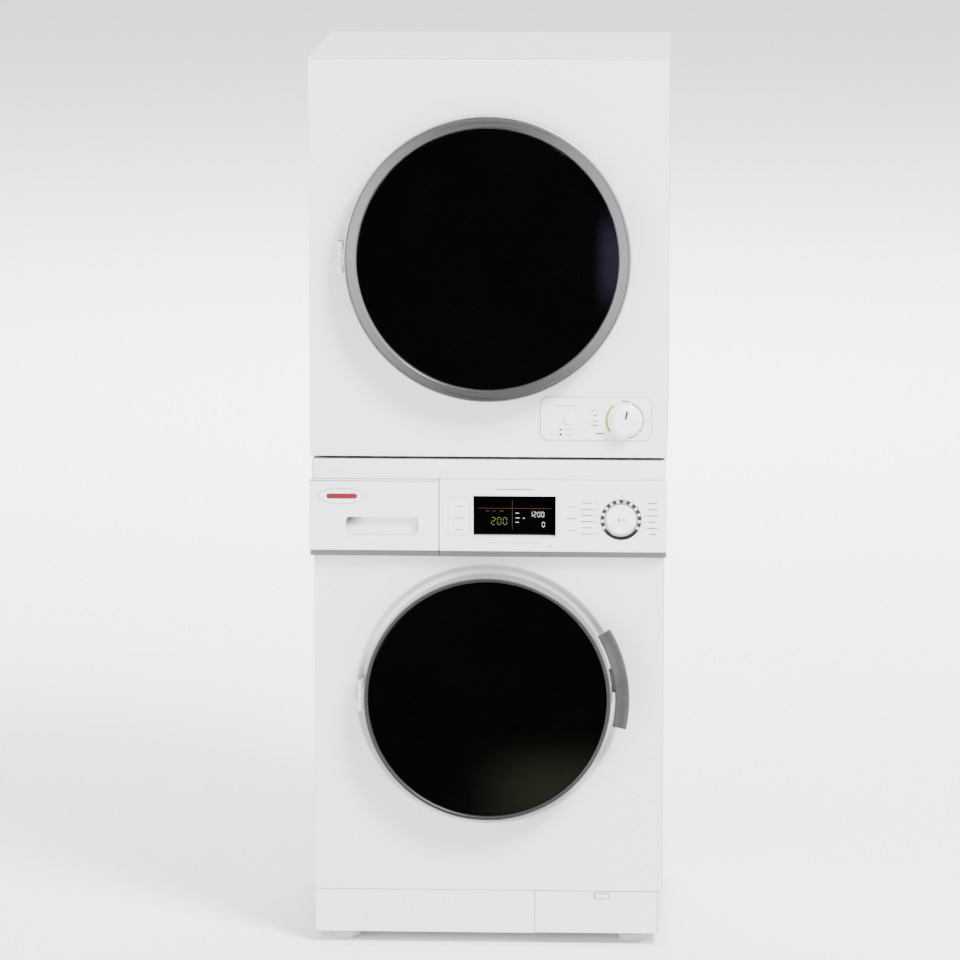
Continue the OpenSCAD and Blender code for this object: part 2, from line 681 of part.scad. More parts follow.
module screws() color("gray") placed() {
    both_sides() for (z = [pad_z - 52, pad_z - 42, dryer_z + 10, dryer_z + 22])
        rod_y([bracket_x + 18, z], 4, body_d + 3, body_d + 5.5);
    both_sides() for (z = [base_top + 30, door_z, worktop_z - 40, dryer_z + 40, dryer_z + 240, dryer_top_z - 40])
        rod_y([in_w - 12, z], 4.5, body_d, body_d + 2.5);
}

module cord_glands() color("black") placed() for (at = [washer_cord, dryer_cord]) {
    rod_y(at, 7.7, body_d - sheet, body_d);
    turned_y(at, [[0, body_d], [11, body_d], [9, body_d + 5], [6, body_d + 14], [0, body_d + 14]]);
}
washer_cord = [245, worktop_z - 110];
dryer_cord = [230, dryer_z + 60];

// ---- dryer cabinet ----

module dryer_sides() color("whitesmoke") placed() both_sides() {
    block([dw - sheet, sheet, dryer_z], [dw, body_d - sheet, lid_z]);
    block([dw - sheet - flange_w, sheet, dryer_z + 3], [dw - sheet, 2 * sheet, lid_z]);
    block([dw - sheet - flange_w, body_d - 2 * sheet, dryer_z + 3], [dw - sheet, body_d - sheet, lid_z]);
}

module dryer_back_panel() color("gainsboro") placed() difference() {
    block([-dw, body_d - sheet, dryer_z], [dw, body_d, lid_z]);
    rod_y(blower_at, spigot_r + 1, body_d - 3 * sheet, body_d + 1);
    rod_y(dryer_cord, 8, body_d - 3 * sheet, body_d + 1);
}

module dryer_front_panel() color("white") placed() slab_y(0, sheet) difference() {
    rect([-dw, dryer_z], [dw, lid_z]);
    translate([0, dryer_door_z]) circle(r = dryer_mouth_r, $fn = 96);
    round_rect(control_lo - [seat, seat], control_hi + [seat, seat], 14);
    rect([dryer_hook_x - 5, dryer_door_z - 12], [dryer_hook_x + 13, dryer_door_z + 12]);
    for (s = [-1, 1]) translate([0, dryer_door_z + s * 20])
        rect([dryer_hinge[0] - 6, -7], [dryer_hinge[0] + 6, 7]);
}

module dryer_top() color("white") placed() block([-dw, 0, lid_z], [dw, body_d, dryer_top_z]);

module dryer_base() color("silver") placed()
    block([-dw + sheet, sheet, dryer_z], [dw - sheet, body_d - sheet, dryer_z + 3]);

module control_panel() color("white") placed() difference() {
    union() {
        slab_y(-1.5, sheet + seat) round_rect(control_lo, control_hi, 14);
        slab_y(sheet + seat, 5) round_rect(control_lo - [4, 4], control_hi + [4, 4], 18);
    }
    rod_y(timer_at, 4 + run, -3, 6);
    rod_y(mode_at, mode_d / 2 + run, -3, 6);
}

module timer_knob() color("white") placed() {
    turned_y(timer_at, [[0, -24], [timer_cap_d / 2 - 2, -24], [timer_cap_d / 2, -22],
        [timer_cap_d / 2, -8], [timer_d / 2 - 1, -6], [timer_d / 2, -4], [timer_d / 2, -1.8], [0, -1.8]]);
    rod_y(timer_at, 4, -2, 12);
}

module mode_button() color("white") placed()
    turned_y(mode_at, [[0, -5], [mode_d / 2 - 1, -5], [mode_d / 2, -4], [mode_d / 2, 9 - button_travel - seat],
        [0, 9 - button_travel - seat]]);

module dryer_bulkheads() color("silver") placed() {
    difference() {
        union() {
            turned_y([0, dryer_door_z], [[dryer_mouth_r, sheet], [sleeve_out, sheet],
                [sleeve_out, drum_a + 8], [dryer_mouth_r, drum_a + 8]]);
            slab_y(56, 59) difference() {
                rect([-dw + sheet, dryer_z + 3], [dw - sheet, lid_z]);
                translate([0, dryer_door_z]) circle(r = dryer_mouth_r + 1, $fn = 96);
            }
            block([-filter_w - 8, 25, filter_floor - 3], [filter_w + 8, 47, dryer_door_z - dryer_mouth_r + 8]);
        }
        rod_y([0, dryer_door_z], dryer_mouth_r, 0, 50);
        block([-filter_w - 2, 28, filter_floor], [filter_w + 2, 44, dryer_door_z]);
        block([-40, 40, filter_floor + 5], [40, 60, filter_floor + 35]);
    }
    difference() {
        union() {
            block([-dw + sheet, drum_b + 10, dryer_z + 3], [dw - sheet, drum_b + 13, lid_z]);
            rod_y([0, dryer_door_z], 30, drum_b + 11, drum_b + 36);
        }
        rod_y([0, dryer_door_z], 10 + run, drum_b, drum_b + 40);
        rod_y(blower_at, spigot_r + seat, drum_b, drum_b + 40);
    }
}
filter_floor = dryer_z + 24;

module exhaust_duct() color("gainsboro") placed() {
    difference() {
        union() {
            rod_y(blower_at, blower_out, blower_y, blower_y + 55);
            rod_y(blower_at, spigot_r, blower_y + 50, body_d - 20);
            rod_y(blower_at, spigot_r - neck, body_d - 20, free_end);
            rod_y(blower_at, spigot_r, free_end, body_d + fitting_out);
        }
        rod_y(blower_at, blower_out - 3, blower_y + 3, blower_y + 50);
        rod_y(blower_at, spigot_r - 2, blower_y + 40, body_d + fitting_out + 1);
        rod_y(blower_at, 18, blower_y - 1, blower_y + 10);
    }
    difference() {
        union() {
            block([-70, 59, dryer_z + 4], [70, blower_y + 50, dryer_z + 60]);
            block([-140, blower_y + 5, dryer_z + 4], [-70, blower_y + 50, dryer_z + 60]);
        }
        block([-67, 58, dryer_z + 7], [67, blower_y + 47, dryer_z + 57]);
        block([-141, blower_y + 8, dryer_z + 7], [-60, blower_y + 47, dryer_z + 57]);
    }
}

module dryer_motor() color("gray") placed() difference() {
    union() {
        rod_y(blower_at, 48, 190, 330);
        block([blower_at[0] - 34, 200, dryer_z + 3], [blower_at[0] + 34, 320, blower_at[1] - 30]);
    }
    rod_y(blower_at, 6 + run, 180, 340);
}

module blower_wheel() color("lightgray") placed() {
    rod_y(blower_at, 6, 150, blower_y + 12);
    rod_y(blower_at, dryer_pulley_r, 152, 168);
    rod_y(blower_at, 48, blower_y + 42, blower_y + 45);
    rod_y(blower_at, 14, blower_y + 8, blower_y + 43);
    for (a = [0:30:330]) translate([blower_at[0], 0, blower_at[1]]) rotate([0, a, 0])
        block([12, blower_y + 8, -1], [46, blower_y + 43, 1]);
}

module dryer_drum() color("silver") placed() {
    lip = sleeve_out + seat;
    turned_y([0, dryer_door_z], [[lip, drum_a - 8], [lip + 4, drum_a - 8], [lip + 4, drum_a],
        [dryer_drum_r - 6, drum_a], [dryer_drum_r, drum_a + 6], [dryer_drum_r, drum_b], [0, drum_b],
        [0, drum_b - 2], [dryer_drum_r - 2, drum_b - 2], [dryer_drum_r - 2, drum_a + 7],
        [dryer_drum_r - 7, drum_a + 2], [lip, drum_a + 2]]);
    for (a = [90, 210, 330]) translate([0, 0, dryer_door_z]) rotate([0, a, 0])
        block([dryer_drum_r - 44, drum_a + 20, -12], [dryer_drum_r - 1, drum_b - 6, 12]);
    rod_y([0, dryer_door_z], 10, drum_b - 1, drum_b + 34);
}

module lint_filter() color("lightsteelblue") placed() {
    difference() {
        block([-filter_w, 29, filter_floor + seat], [filter_w, 43, dryer_door_z - dryer_mouth_r + 8]);
        for (s = [-1, 1]) block([-s * 36 - 28, 32, filter_floor + 8], [-s * 36 + 28, 40, dryer_door_z - dryer_mouth_r - 4]);
    }
}

// ---- dryer door ----

module dryer_door_ring() color("silver") placed() {
    r = dryer_door_r;
    difference() {
        union() {
            turned_y([0, dryer_door_z], [[dryer_glass_r + seat, -dryer_ring_out + 6],
                [dryer_glass_r + 4, -dryer_ring_out], [r - 4, -dryer_ring_out + 3], [r, -dryer_ring_out + 8],
                [r, -4], [r - 24, -4], [r - 24, -10], [r - 4, -12], [r - 4, -dryer_ring_out + 10],
                [r - 18, -dryer_ring_out + 8], [r - 18, -dryer_ring_out + 14], [dryer_glass_r - 8, -dryer_ring_out + 14],
                [dryer_glass_r - 8, -dryer_ring_out + 9], [dryer_glass_r + seat, -dryer_ring_out + 9]]);
            block([dryer_hinge[0], dryer_hinge[1] - 3, dryer_door_z - 13],
                [-r + 3, dryer_hinge[1] + 3, dryer_door_z + 13]);
            knuckle(dryer_hinge, knuckle_r, dryer_door_z - 13, dryer_door_z + 13);
            block([dryer_hook_x, -6, dryer_door_z - 7], [dryer_hook_x + 5, 14, dryer_door_z + 7]);
        }
        rod_z(dryer_hinge, pin_r + run, dryer_door_z - 14, dryer_door_z + 14);
        block([r - 23, -26, dryer_door_z + pull_from], [r + 1, -3, dryer_door_z + pull_to]);
    }
}
// Finger notch behind the right of the dryer door's ring, counted up from the door's centre
pull_from = 20;
pull_to = 90;

module dryer_door_glass() color("black") placed() {
    rim = -dryer_ring_out + 4;
    turned_y([0, dryer_door_z], concat(
        [for (i = [0:12]) [dryer_glass_r * i / 12, rim - 3 * (1 - pow(i / 12, 2))]],
        [[dryer_glass_r, rim + 4.7], [0, rim + 4.7]]));
}

module dryer_door_liner() color("white") placed() {
    turned_y([0, dryer_door_z], [[0, -9], [dryer_mouth_r - 40, -9], [dryer_mouth_r - 30, -4],
        [dryer_door_r - 24 - seat, -4], [dryer_door_r - 24 - seat, -10], [dryer_door_r - 26, -18],
        [dryer_glass_r - 20, -dryer_ring_out + 14 + seat], [dryer_glass_r - 26, -dryer_ring_out + 14 + seat],
        [dryer_mouth_r - 26, -12], [0, -12]]);
}

washer_sides();
washer_back_panel();
washer_front_panel();
washer_worktop();
washer_base();
feet();
kick_plate();
console();
console_trim();
display_window();
control_modules();
drawer_housing();
tub_front();
tub_rear();
door_gaskets();
tub_ballast();
tub_suspension();
drum_bearings();
washer_motor();
drive_belts();
heaters();
drain_pump();
inlet_valve();
door_hinges();
door_locks();
screws();
cord_glands();
dryer_sides();
dryer_back_panel();
dryer_front_panel();
dryer_top();
dryer_base();
control_panel();
dryer_bulkheads();
exhaust_duct();
dryer_motor();
stack_brackets();
washer_door_ring();
washer_door_window();
washer_door_bowl();
washer_door_hook();
washer_door_handle();
drawer_front();
drawer_trim();
drawer_tray();
programme_knob();
start_button();
washer_drum();
drum_spider();
motor_pulley();
filter_flap();
filter_cap();
dryer_door_ring();
dryer_door_glass();
dryer_door_liner();
timer_knob();
mode_button();
dryer_drum();
blower_wheel();
lint_filter();
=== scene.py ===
# %% [markdown]
# # Washer dryer stack
# Two white appliances stand one on the other: a front-loading washer below and a vented dryer above.
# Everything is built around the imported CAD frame, so every size is read from the frame's own boxes.

# %% Load the frame
import math
import bpy
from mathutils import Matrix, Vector


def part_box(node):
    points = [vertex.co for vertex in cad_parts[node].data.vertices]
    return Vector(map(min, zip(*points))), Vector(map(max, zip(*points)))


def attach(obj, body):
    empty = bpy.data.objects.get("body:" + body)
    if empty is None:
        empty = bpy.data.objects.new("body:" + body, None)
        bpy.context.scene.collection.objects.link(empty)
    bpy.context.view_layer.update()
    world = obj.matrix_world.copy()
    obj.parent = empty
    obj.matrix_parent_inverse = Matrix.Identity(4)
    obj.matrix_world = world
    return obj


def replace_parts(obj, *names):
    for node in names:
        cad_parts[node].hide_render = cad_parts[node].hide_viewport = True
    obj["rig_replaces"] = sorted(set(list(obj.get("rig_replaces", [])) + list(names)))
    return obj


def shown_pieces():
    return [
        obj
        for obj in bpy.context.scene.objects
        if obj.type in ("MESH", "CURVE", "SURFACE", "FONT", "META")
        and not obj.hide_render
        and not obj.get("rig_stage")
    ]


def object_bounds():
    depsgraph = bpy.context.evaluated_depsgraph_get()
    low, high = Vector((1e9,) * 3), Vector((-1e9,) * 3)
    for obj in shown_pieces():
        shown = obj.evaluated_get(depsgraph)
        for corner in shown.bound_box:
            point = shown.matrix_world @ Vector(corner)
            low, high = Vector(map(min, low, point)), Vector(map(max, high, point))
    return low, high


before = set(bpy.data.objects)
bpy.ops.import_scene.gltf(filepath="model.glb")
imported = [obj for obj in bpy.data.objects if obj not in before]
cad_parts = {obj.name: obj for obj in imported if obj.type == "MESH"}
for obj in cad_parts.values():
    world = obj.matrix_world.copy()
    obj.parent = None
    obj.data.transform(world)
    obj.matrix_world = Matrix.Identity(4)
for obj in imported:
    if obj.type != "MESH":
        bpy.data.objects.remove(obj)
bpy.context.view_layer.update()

MM = 0.001

# %% [markdown]
# The camera comes first. The stack is seen from a little above and a little to the right, through a long
# lens, so its upright edges stay nearly parallel and only a sliver of the dryer's top shows.

# %% Camera
camera_data = bpy.data.cameras.new("camera")
camera_data.lens = 184.5
camera_data.sensor_width = 36
camera = bpy.data.objects.new("camera", camera_data)
camera.location = (0.3275, -8.35, 2.181)
camera.rotation_euler = (math.radians(90) - 0.1687, 0, 0.0421)
bpy.context.scene.collection.objects.link(camera)
bpy.context.scene.camera = camera
print("camera at", tuple(camera.location))

# %% [markdown]
# Places used again and again: the front face of the cabinets, the two door centres, and the levels where
# one piece stops and the next begins. They all come from the CAD boxes.

# %% Places
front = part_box("washer_front_panel")[0][1]
def middle_of(node):
    """The x and z of the middle of a node's box."""
    low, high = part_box(node)
    return (low[0] + high[0]) / 2, (low[2] + high[2]) / 2


def radius_of(node):
    """Half the height of a node's box."""
    low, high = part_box(node)
    return (high[2] - low[2]) / 2


washer_centre = (0.0, middle_of("washer_door_window")[1])
dryer_centre = (0.0, middle_of("dryer_door_glass")[1])
knob_centre, timer_centre, mode_centre = (middle_of(n) for n in ("start_button", "timer_knob", "mode_button"))
washer_r, window_r = radius_of("washer_door_ring"), radius_of("washer_door_window")
dryer_r, glass_r = radius_of("dryer_door_ring"), radius_of("dryer_door_glass")
print("washer door centre", washer_centre, "dryer door centre", dryer_centre)

# %% [markdown]
# Modelling helpers. Each one is a short run of the tools used by hand: a primitive is added at its size and
# place, shaped in edit mode, and its place is then applied so that the object sits at the origin.

# %% Start a primitive, and apply its place
def start(kind, **where):
    """Deselects everything and adds one primitive."""
    bpy.ops.object.select_all(action="DESELECT")
    getattr(bpy.ops.mesh, "primitive_" + kind + "_add")(**where)
    return bpy.context.object


def settle(piece, name):
    """Names the piece and moves its place into its mesh."""
    bpy.ops.object.select_all(action="DESELECT")
    piece.select_set(True)
    bpy.context.view_layer.objects.active = piece
    bpy.ops.object.transform_apply(location=True, rotation=True, scale=True)
    piece.name = name
    piece.data.name = name
    return piece


def editing(piece, what="EDGE"):
    """Opens the piece in edit mode with nothing selected."""
    bpy.context.view_layer.objects.active = piece
    bpy.ops.object.mode_set(mode="EDIT")
    bpy.ops.mesh.select_mode(type=what)
    bpy.ops.mesh.select_all(action="DESELECT")
    bpy.ops.object.mode_set(mode="OBJECT")


def pick(piece, what, test):
    """Selects the edges or faces that pass a test and goes into edit mode."""
    editing(piece, "EDGE" if what == "edges" else "FACE")
    for item in (piece.data.edges if what == "edges" else piece.data.polygons):
        item.select = test(item)
    bpy.ops.object.mode_set(mode="EDIT")


def soften(piece, test, soft, rounds):
    """Rounds the rims of the faces that pass a test, by soft millimetres."""
    pick(piece, "faces", test)
    bpy.ops.mesh.region_to_loop()
    bpy.ops.mesh.bevel(offset=soft * MM, segments=rounds, affect="EDGES")
    bpy.ops.object.mode_set(mode="OBJECT")


# %% Slabs with softened edges, and round cutters
def box_between(name, low, high):
    """A sharp box from low to high in metres."""
    size = [b - a for a, b in zip(low, high)]
    middle = [(a + b) / 2 for a, b in zip(low, high)]
    return settle(start("cube", size=1, location=middle, scale=size), name)


def slab(name, low, high, soft=1.0, rounds=3):
    """A box from low to high in metres, its edges rounded by soft millimetres."""
    piece = box_between(name, low, high)
    bpy.ops.object.mode_set(mode="EDIT")
    bpy.ops.mesh.select_all(action="SELECT")
    bpy.ops.mesh.bevel(offset=soft * MM, segments=rounds, affect="EDGES")
    bpy.ops.object.mode_set(mode="OBJECT")
    return piece


def tablet(name, low, high, corner, soft=1.0, axis=1):
    """A slab whose four edges along an axis are rounded by corner millimetres, then softened."""
    piece = box_between(name, low, high)
    points = piece.data.vertices

    def along(edge):
        run = points[edge.vertices[0]].co - points[edge.vertices[1]].co
        return abs(run[axis]) > 0.9 * run.length
    pick(piece, "edges", along)
    bpy.ops.mesh.bevel(offset=corner * MM, segments=8, affect="EDGES")
    bpy.ops.object.mode_set(mode="OBJECT")
    soften(piece, lambda face: abs(face.normal[axis]) > 0.9, soft, 3)
    return piece


def bore(x, z, radius, sides=64, y=front, deep=0.05):
    """A round cutter along y, all in metres."""
    return start("cylinder", radius=radius, depth=deep, vertices=sides, location=(x, y, z),
                 rotation=(math.radians(90), 0, 0))


# %% A turned piece
def rounded(points, radius):
    """Replaces each inner corner of an outline by a short arc."""
    out = [points[0]]
    for before, corner, after in zip(points, points[1:], points[2:]):
        a, b, c = Vector(before), Vector(corner), Vector(after)
        reach = min(radius, (a - b).length * 0.45, (c - b).length * 0.45)
        p, q = b + (a - b).normalized() * reach, b + (c - b).normalized() * reach
        out += [tuple((1 - t) ** 2 * p + 2 * t * (1 - t) * b + t * t * q) for t in (0, 0.33, 0.67, 1)]
    return out + [points[-1]]


def turned(name, centre, outline, steps=128, angle=360.0, begin=0.0, soft=0.8):
    """Spins an outline of [radius, depth] millimetres about the line through centre that runs along y.
    Depth is counted from the front face of the cabinets. begin is measured from +X towards +Z."""
    outline = rounded(outline, soft) if soft else outline
    spot = math.radians(begin)
    places = [Vector((centre[0] + r * MM * math.cos(spot), front + d * MM,
                      centre[1] + r * MM * math.sin(spot))) for r, d in outline]
    piece = start("plane", size=0.001, location=(0, 0, 0))
    bpy.ops.object.mode_set(mode="EDIT")
    bpy.ops.mesh.select_mode(type="VERT")
    bpy.ops.mesh.select_all(action="SELECT")
    bpy.ops.mesh.merge(type="CENTER")
    bpy.ops.mesh.select_all(action="SELECT")
    bpy.ops.transform.translate(value=places[0])
    for a, b in zip(places, places[1:]):
        bpy.ops.mesh.extrude_region_move(TRANSFORM_OT_translate={"value": b - a})
    bpy.ops.mesh.select_all(action="SELECT")
    bpy.ops.mesh.spin(steps=steps, angle=math.radians(angle), center=(centre[0], 0, centre[1]), axis=(0, 1, 0))
    bpy.ops.mesh.select_all(action="SELECT")
    bpy.ops.mesh.remove_doubles(threshold=0.000002)
    if angle < 360:
        bpy.ops.mesh.select_all(action="DESELECT")
        bpy.ops.mesh.select_non_manifold()
        bpy.ops.mesh.edge_face_add()
        bpy.ops.mesh.select_all(action="SELECT")
    bpy.ops.mesh.normals_make_consistent(inside=False)
    bpy.ops.object.mode_set(mode="OBJECT")
    return settle(piece, name)


def barrel(name, low, high, radius, soft=0.5, sides=32):
    """A round bar between two points, its end rims softened."""
    low, high = Vector(low), Vector(high)
    turn = (high - low).to_track_quat("Z", "Y").to_euler()
    piece = start("cylinder", radius=radius * MM, depth=(high - low).length, vertices=sides,
                  location=(low + high) / 2, rotation=turn)
    soften(piece, lambda face: len(face.vertices) > 4, soft, 2)
    return settle(piece, name)


# %% Cutting, joining and finishing
def cut(piece, *cutters):
    """Takes each cutter out of the piece with an applied Boolean modifier."""
    for cutter in cutters:
        modifier = piece.modifiers.new("cut", "BOOLEAN")
        modifier.object = cutter
        modifier.operation = "DIFFERENCE"
        modifier.solver = "EXACT"
        bpy.context.view_layer.objects.active = piece
        bpy.ops.object.modifier_apply(modifier="cut")
        bpy.data.objects.remove(cutter)
    return piece


def together(name, pieces):
    """Joins several pieces into one object."""
    bpy.ops.object.select_all(action="DESELECT")
    for piece in pieces:
        piece.select_set(True)
    bpy.context.view_layer.objects.active = pieces[0]
    bpy.ops.object.join()
    return settle(pieces[0], name)


made = []


def finished(piece, material, body, *nodes, angle=35, slot=None):
    """Smooths the piece, gives it its material and hangs it on its body."""
    bpy.ops.object.select_all(action="DESELECT")
    piece.select_set(True)
    bpy.context.view_layer.objects.active = piece
    bpy.ops.object.shade_smooth_by_angle(angle=math.radians(angle))
    bpy.ops.object.modifier_add(type="WEIGHTED_NORMAL")
    piece.modifiers[-1].keep_sharp = True
    bpy.ops.object.modifier_apply(modifier=piece.modifiers[-1].name)
    piece.data.materials.clear()
    piece.data.materials.append(material)
    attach(piece, body)
    if nodes:
        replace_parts(piece, *nodes)
    made.append(piece.name)
    return piece


# %% [markdown]
# Finishes. Two small node groups carry what the materials share: a fine skin (slow colour drift, patches of dust and
# of roughness, and a bump), and brushing that runs round a door or a knob, with a painted sheen that makes the colour
# lighter at the sides and darker at top and bottom. Each group gives out only colours, values and a height; every
# shader stays in its own material.

# %% Node helpers
def add_node(tree, kind, at=(0, 0), **settings):
    node = tree.nodes.new(kind)
    node.location = at
    for key, value in settings.items():
        setattr(node, key, value)
    return node


def new_group(name, inputs, outputs):
    """An empty shader group with named sockets, and its two end nodes."""
    tree = bpy.data.node_groups.new(name, "ShaderNodeTree")
    for label, kind, value in inputs:
        socket = tree.interface.new_socket(name=label, in_out="INPUT", socket_type=kind)
        socket.default_value = value
    for label, kind in outputs:
        tree.interface.new_socket(name=label, in_out="OUTPUT", socket_type=kind)
    return tree, add_node(tree, "NodeGroupInput", (-900, 0)), add_node(tree, "NodeGroupOutput", (700, 0))


def feed(tree, socket, source):
    """Links a socket to its source, or sets it where the source is a number."""
    if isinstance(source, (int, float)):
        socket.default_value = source
    else:
        tree.links.new(source, socket)


def mapped(tree, value, low, high, at=(0, 0)):
    """A Map Range node from 0.3..0.7 of a noise to low..high."""
    node = add_node(tree, "ShaderNodeMapRange", at)
    for label, source in (("From Min", 0.3), ("From Max", 0.7), ("Value", value), ("To Min", low), ("To Max", high)):
        feed(tree, node.inputs[label], source)
    return node.outputs["Result"]


def reckon(tree, operation, at, *sources):
    """A Math node fed from sockets or numbers."""
    node = add_node(tree, "ShaderNodeMath", at, operation=operation)
    for socket, source in zip(node.inputs, sources):
        feed(tree, socket, source)
    return node.outputs[0]


def noise(tree, vector, scale, detail, at):
    """A noise texture on a vector."""
    node = add_node(tree, "ShaderNodeTexNoise", at)
    for label, source in (("Vector", vector), ("Scale", scale), ("Detail", detail)):
        feed(tree, node.inputs[label], source)
    return node.outputs["Fac"]


def blended(tree, amount, first, second, at):
    """Mixes two colours; a colour is a socket or a tuple."""
    node = add_node(tree, "ShaderNodeMix", at, data_type="RGBA")
    tree.links.new(amount, node.inputs["Factor"])
    for socket, source in ((node.inputs[6], first), (node.inputs[7], second)):
        if isinstance(source, tuple):
            socket.default_value = source
        else:
            tree.links.new(source, socket)
    return node.outputs[2]


# %% Group: fine skin of paint or moulded plastic
COLOR, VALUE = "NodeSocketColor", "NodeSocketFloat"
given = [("Color", COLOR), ("Roughness", VALUE), ("Height", VALUE)]
skin, skin_in, skin_out = new_group("fine skin", [
    ("Color", COLOR, (0.8, 0.8, 0.8, 1)), ("Shade", COLOR, (0.7, 0.7, 0.7, 1)), ("Drift", VALUE, 0.5),
    ("Grain Scale", VALUE, 900.0), ("Rough Low", VALUE, 0.2), ("Rough High", VALUE, 0.3), ("Dust", VALUE, 0.1)],
    given)
place = add_node(skin, "ShaderNodeTexCoord", (-900, -300)).outputs["Object"]
slow = noise(skin, place, 3.5, 4, (-650, 200))
smear = noise(skin, place, 22, 6, (-650, -50))
fine = noise(skin, place, skin_in.outputs["Grain Scale"], 2, (-650, -300))
drift = reckon(skin, "MULTIPLY", (-300, 200), mapped(skin, slow, 0.0, 1.0, (-450, 250)), skin_in.outputs["Drift"])
tint = blended(skin, drift, skin_in.outputs["Color"], skin_in.outputs["Shade"], (0, 200))
dust_mask = reckon(skin, "MULTIPLY", (0, -100), mapped(skin, smear, 0.0, 1.0, (-200, -150)),
                   skin_in.outputs["Dust"])
dusty = blended(skin, dust_mask, tint, (0.62, 0.6, 0.57, 1), (250, 200))
roughness = mapped(skin, smear, skin_in.outputs["Rough Low"], skin_in.outputs["Rough High"], (300, -100))
for label, source in (("Color", dusty), ("Roughness", roughness), ("Height", fine)):
    feed(skin, skin_out.inputs[label], source)

# %% Group: fine lines round a door, and a painted sheen that changes with the bearing: the colour is lighter at the sides and darker at top and bottom
turning, lines_in, lines_out = new_group("turned lines and painted sheen", [
    ("Vector", "NodeSocketVector", (0, 0, 0)), ("Color", COLOR, (0.6, 0.6, 0.6, 1)),
    ("Dark", COLOR, (0.4, 0.4, 0.4, 1)), ("Line Scale", VALUE, 900.0), ("Rough Low", VALUE, 0.25),
    ("Rough High", VALUE, 0.42)], given)
split = add_node(turning, "ShaderNodeSeparateXYZ", (-700, 0))
feed(turning, split.inputs[0], lines_in.outputs["Vector"])
x, z = split.outputs["X"], split.outputs["Z"]
square_x = reckon(turning, "MULTIPLY", (-550, 100), x, x)
square_z = reckon(turning, "MULTIPLY", (-550, -100), z, z)
both = reckon(turning, "ADD", (-400, 0), square_x, square_z)
radius = reckon(turning, "SQRT", (-250, 0), both)
bearing = reckon(turning, "ARCTAN2", (-250, -200), z, x)
spread = reckon(turning, "MULTIPLY", (-100, 0), radius, lines_in.outputs["Line Scale"])
lines_at = add_node(turning, "ShaderNodeCombineXYZ", (50, 0))
feed(turning, lines_at.inputs["X"], spread)
feed(turning, lines_at.inputs["Y"], bearing)
lines = noise(turning, lines_at.outputs[0], 1.5, 3, (200, 0))
sideways = reckon(turning, "DIVIDE", (-100, -350), square_x, both)
upright = reckon(turning, "SUBTRACT", (50, -350), 1.05, sideways)
# painted sheen: the colour moves towards Dark at top and bottom of the centre and stays light at the sides
sheen = reckon(turning, "MULTIPLY", (330, 0), mapped(turning, lines, 0.5, 1.0, (330, 150)), upright)
painted_sheen_mix = blended(turning, sheen, lines_in.outputs["Color"], lines_in.outputs["Dark"], (450, 150))
roughness = mapped(turning, lines, lines_in.outputs["Rough Low"], lines_in.outputs["Rough High"], (330, -150))
for label, source in (("Color", painted_sheen_mix), ("Roughness", roughness), ("Height", lines)):
    feed(turning, lines_out.inputs[label], source)
print("groups:", [group.name for group in bpy.data.node_groups])


# %% Materials from the groups
def material_with(name, group, values, bump, **sockets):
    """A material whose colour, roughness and bump come from a group; sockets are set on the shader itself."""
    material = bpy.data.materials.new(name)
    material.use_nodes = True
    tree = material.node_tree
    shader = tree.nodes["Principled BSDF"]
    source = add_node(tree, "ShaderNodeGroup", (-500, 0), node_tree=group)
    for label, value in values.items():
        source.inputs[label].default_value = value
    height = add_node(tree, "ShaderNodeBump", (-200, -300))
    height.inputs["Strength"].default_value = bump
    height.inputs["Distance"].default_value = 0.0004
    tree.links.new(source.outputs["Height"], height.inputs["Height"])
    tree.links.new(height.outputs["Normal"], shader.inputs["Normal"])
    tree.links.new(source.outputs["Color"], shader.inputs["Base Color"])
    tree.links.new(source.outputs["Roughness"], shader.inputs["Roughness"])
    for label, value in sockets.items():
        shader.inputs[label.replace("_", " ")].default_value = value
    return material


def skinned(name, color, shade, drift=0.5, grain=900, rough=(0.2, 0.3), dust=0.04, bump=0.08, **sockets):
    """Paint, plastic or rubber."""
    values = {"Color": (*color, 1), "Shade": (*shade, 1), "Drift": drift, "Grain Scale": grain,
              "Rough Low": rough[0], "Rough High": rough[1], "Dust": dust}
    return material_with(name, skin, values, bump, **sockets)


def brushed(name, centre, color, dark, scale=900, rough=(0.25, 0.42), bump=0.12, **sockets):
    """Metal with fine turned lines round the given centre, and a painted sheen: lighter at the sides of the centre,
    darker above and below it.
    """
    values = {"Color": (*color, 1), "Dark": (*dark, 1), "Line Scale": scale, "Rough Low": rough[0],
              "Rough High": rough[1]}
    material = material_with(name, turning, values, bump, **{"Metallic": 1.0, **sockets})
    tree = material.node_tree
    place = add_node(tree, "ShaderNodeTexCoord", (-1000, 0))
    move = add_node(tree, "ShaderNodeMapping", (-800, 0))
    move.inputs["Location"].default_value = (-centre[0], 0, -centre[1])
    tree.links.new(place.outputs["Object"], move.inputs["Vector"])
    group = [node for node in tree.nodes if node.type == "GROUP"][0]
    tree.links.new(move.outputs["Vector"], group.inputs["Vector"])
    return material


def dark_pane(name):
    """Near-black glass with a weak mirror."""
    return skinned(name, (0.0004, 0.0006, 0.0005), (0.0008, 0.001, 0.0009), 0.8, 60, (0.02, 0.06), 0.0, 0.01,
                   IOR=1.3, Specular_IOR_Level=0.35)


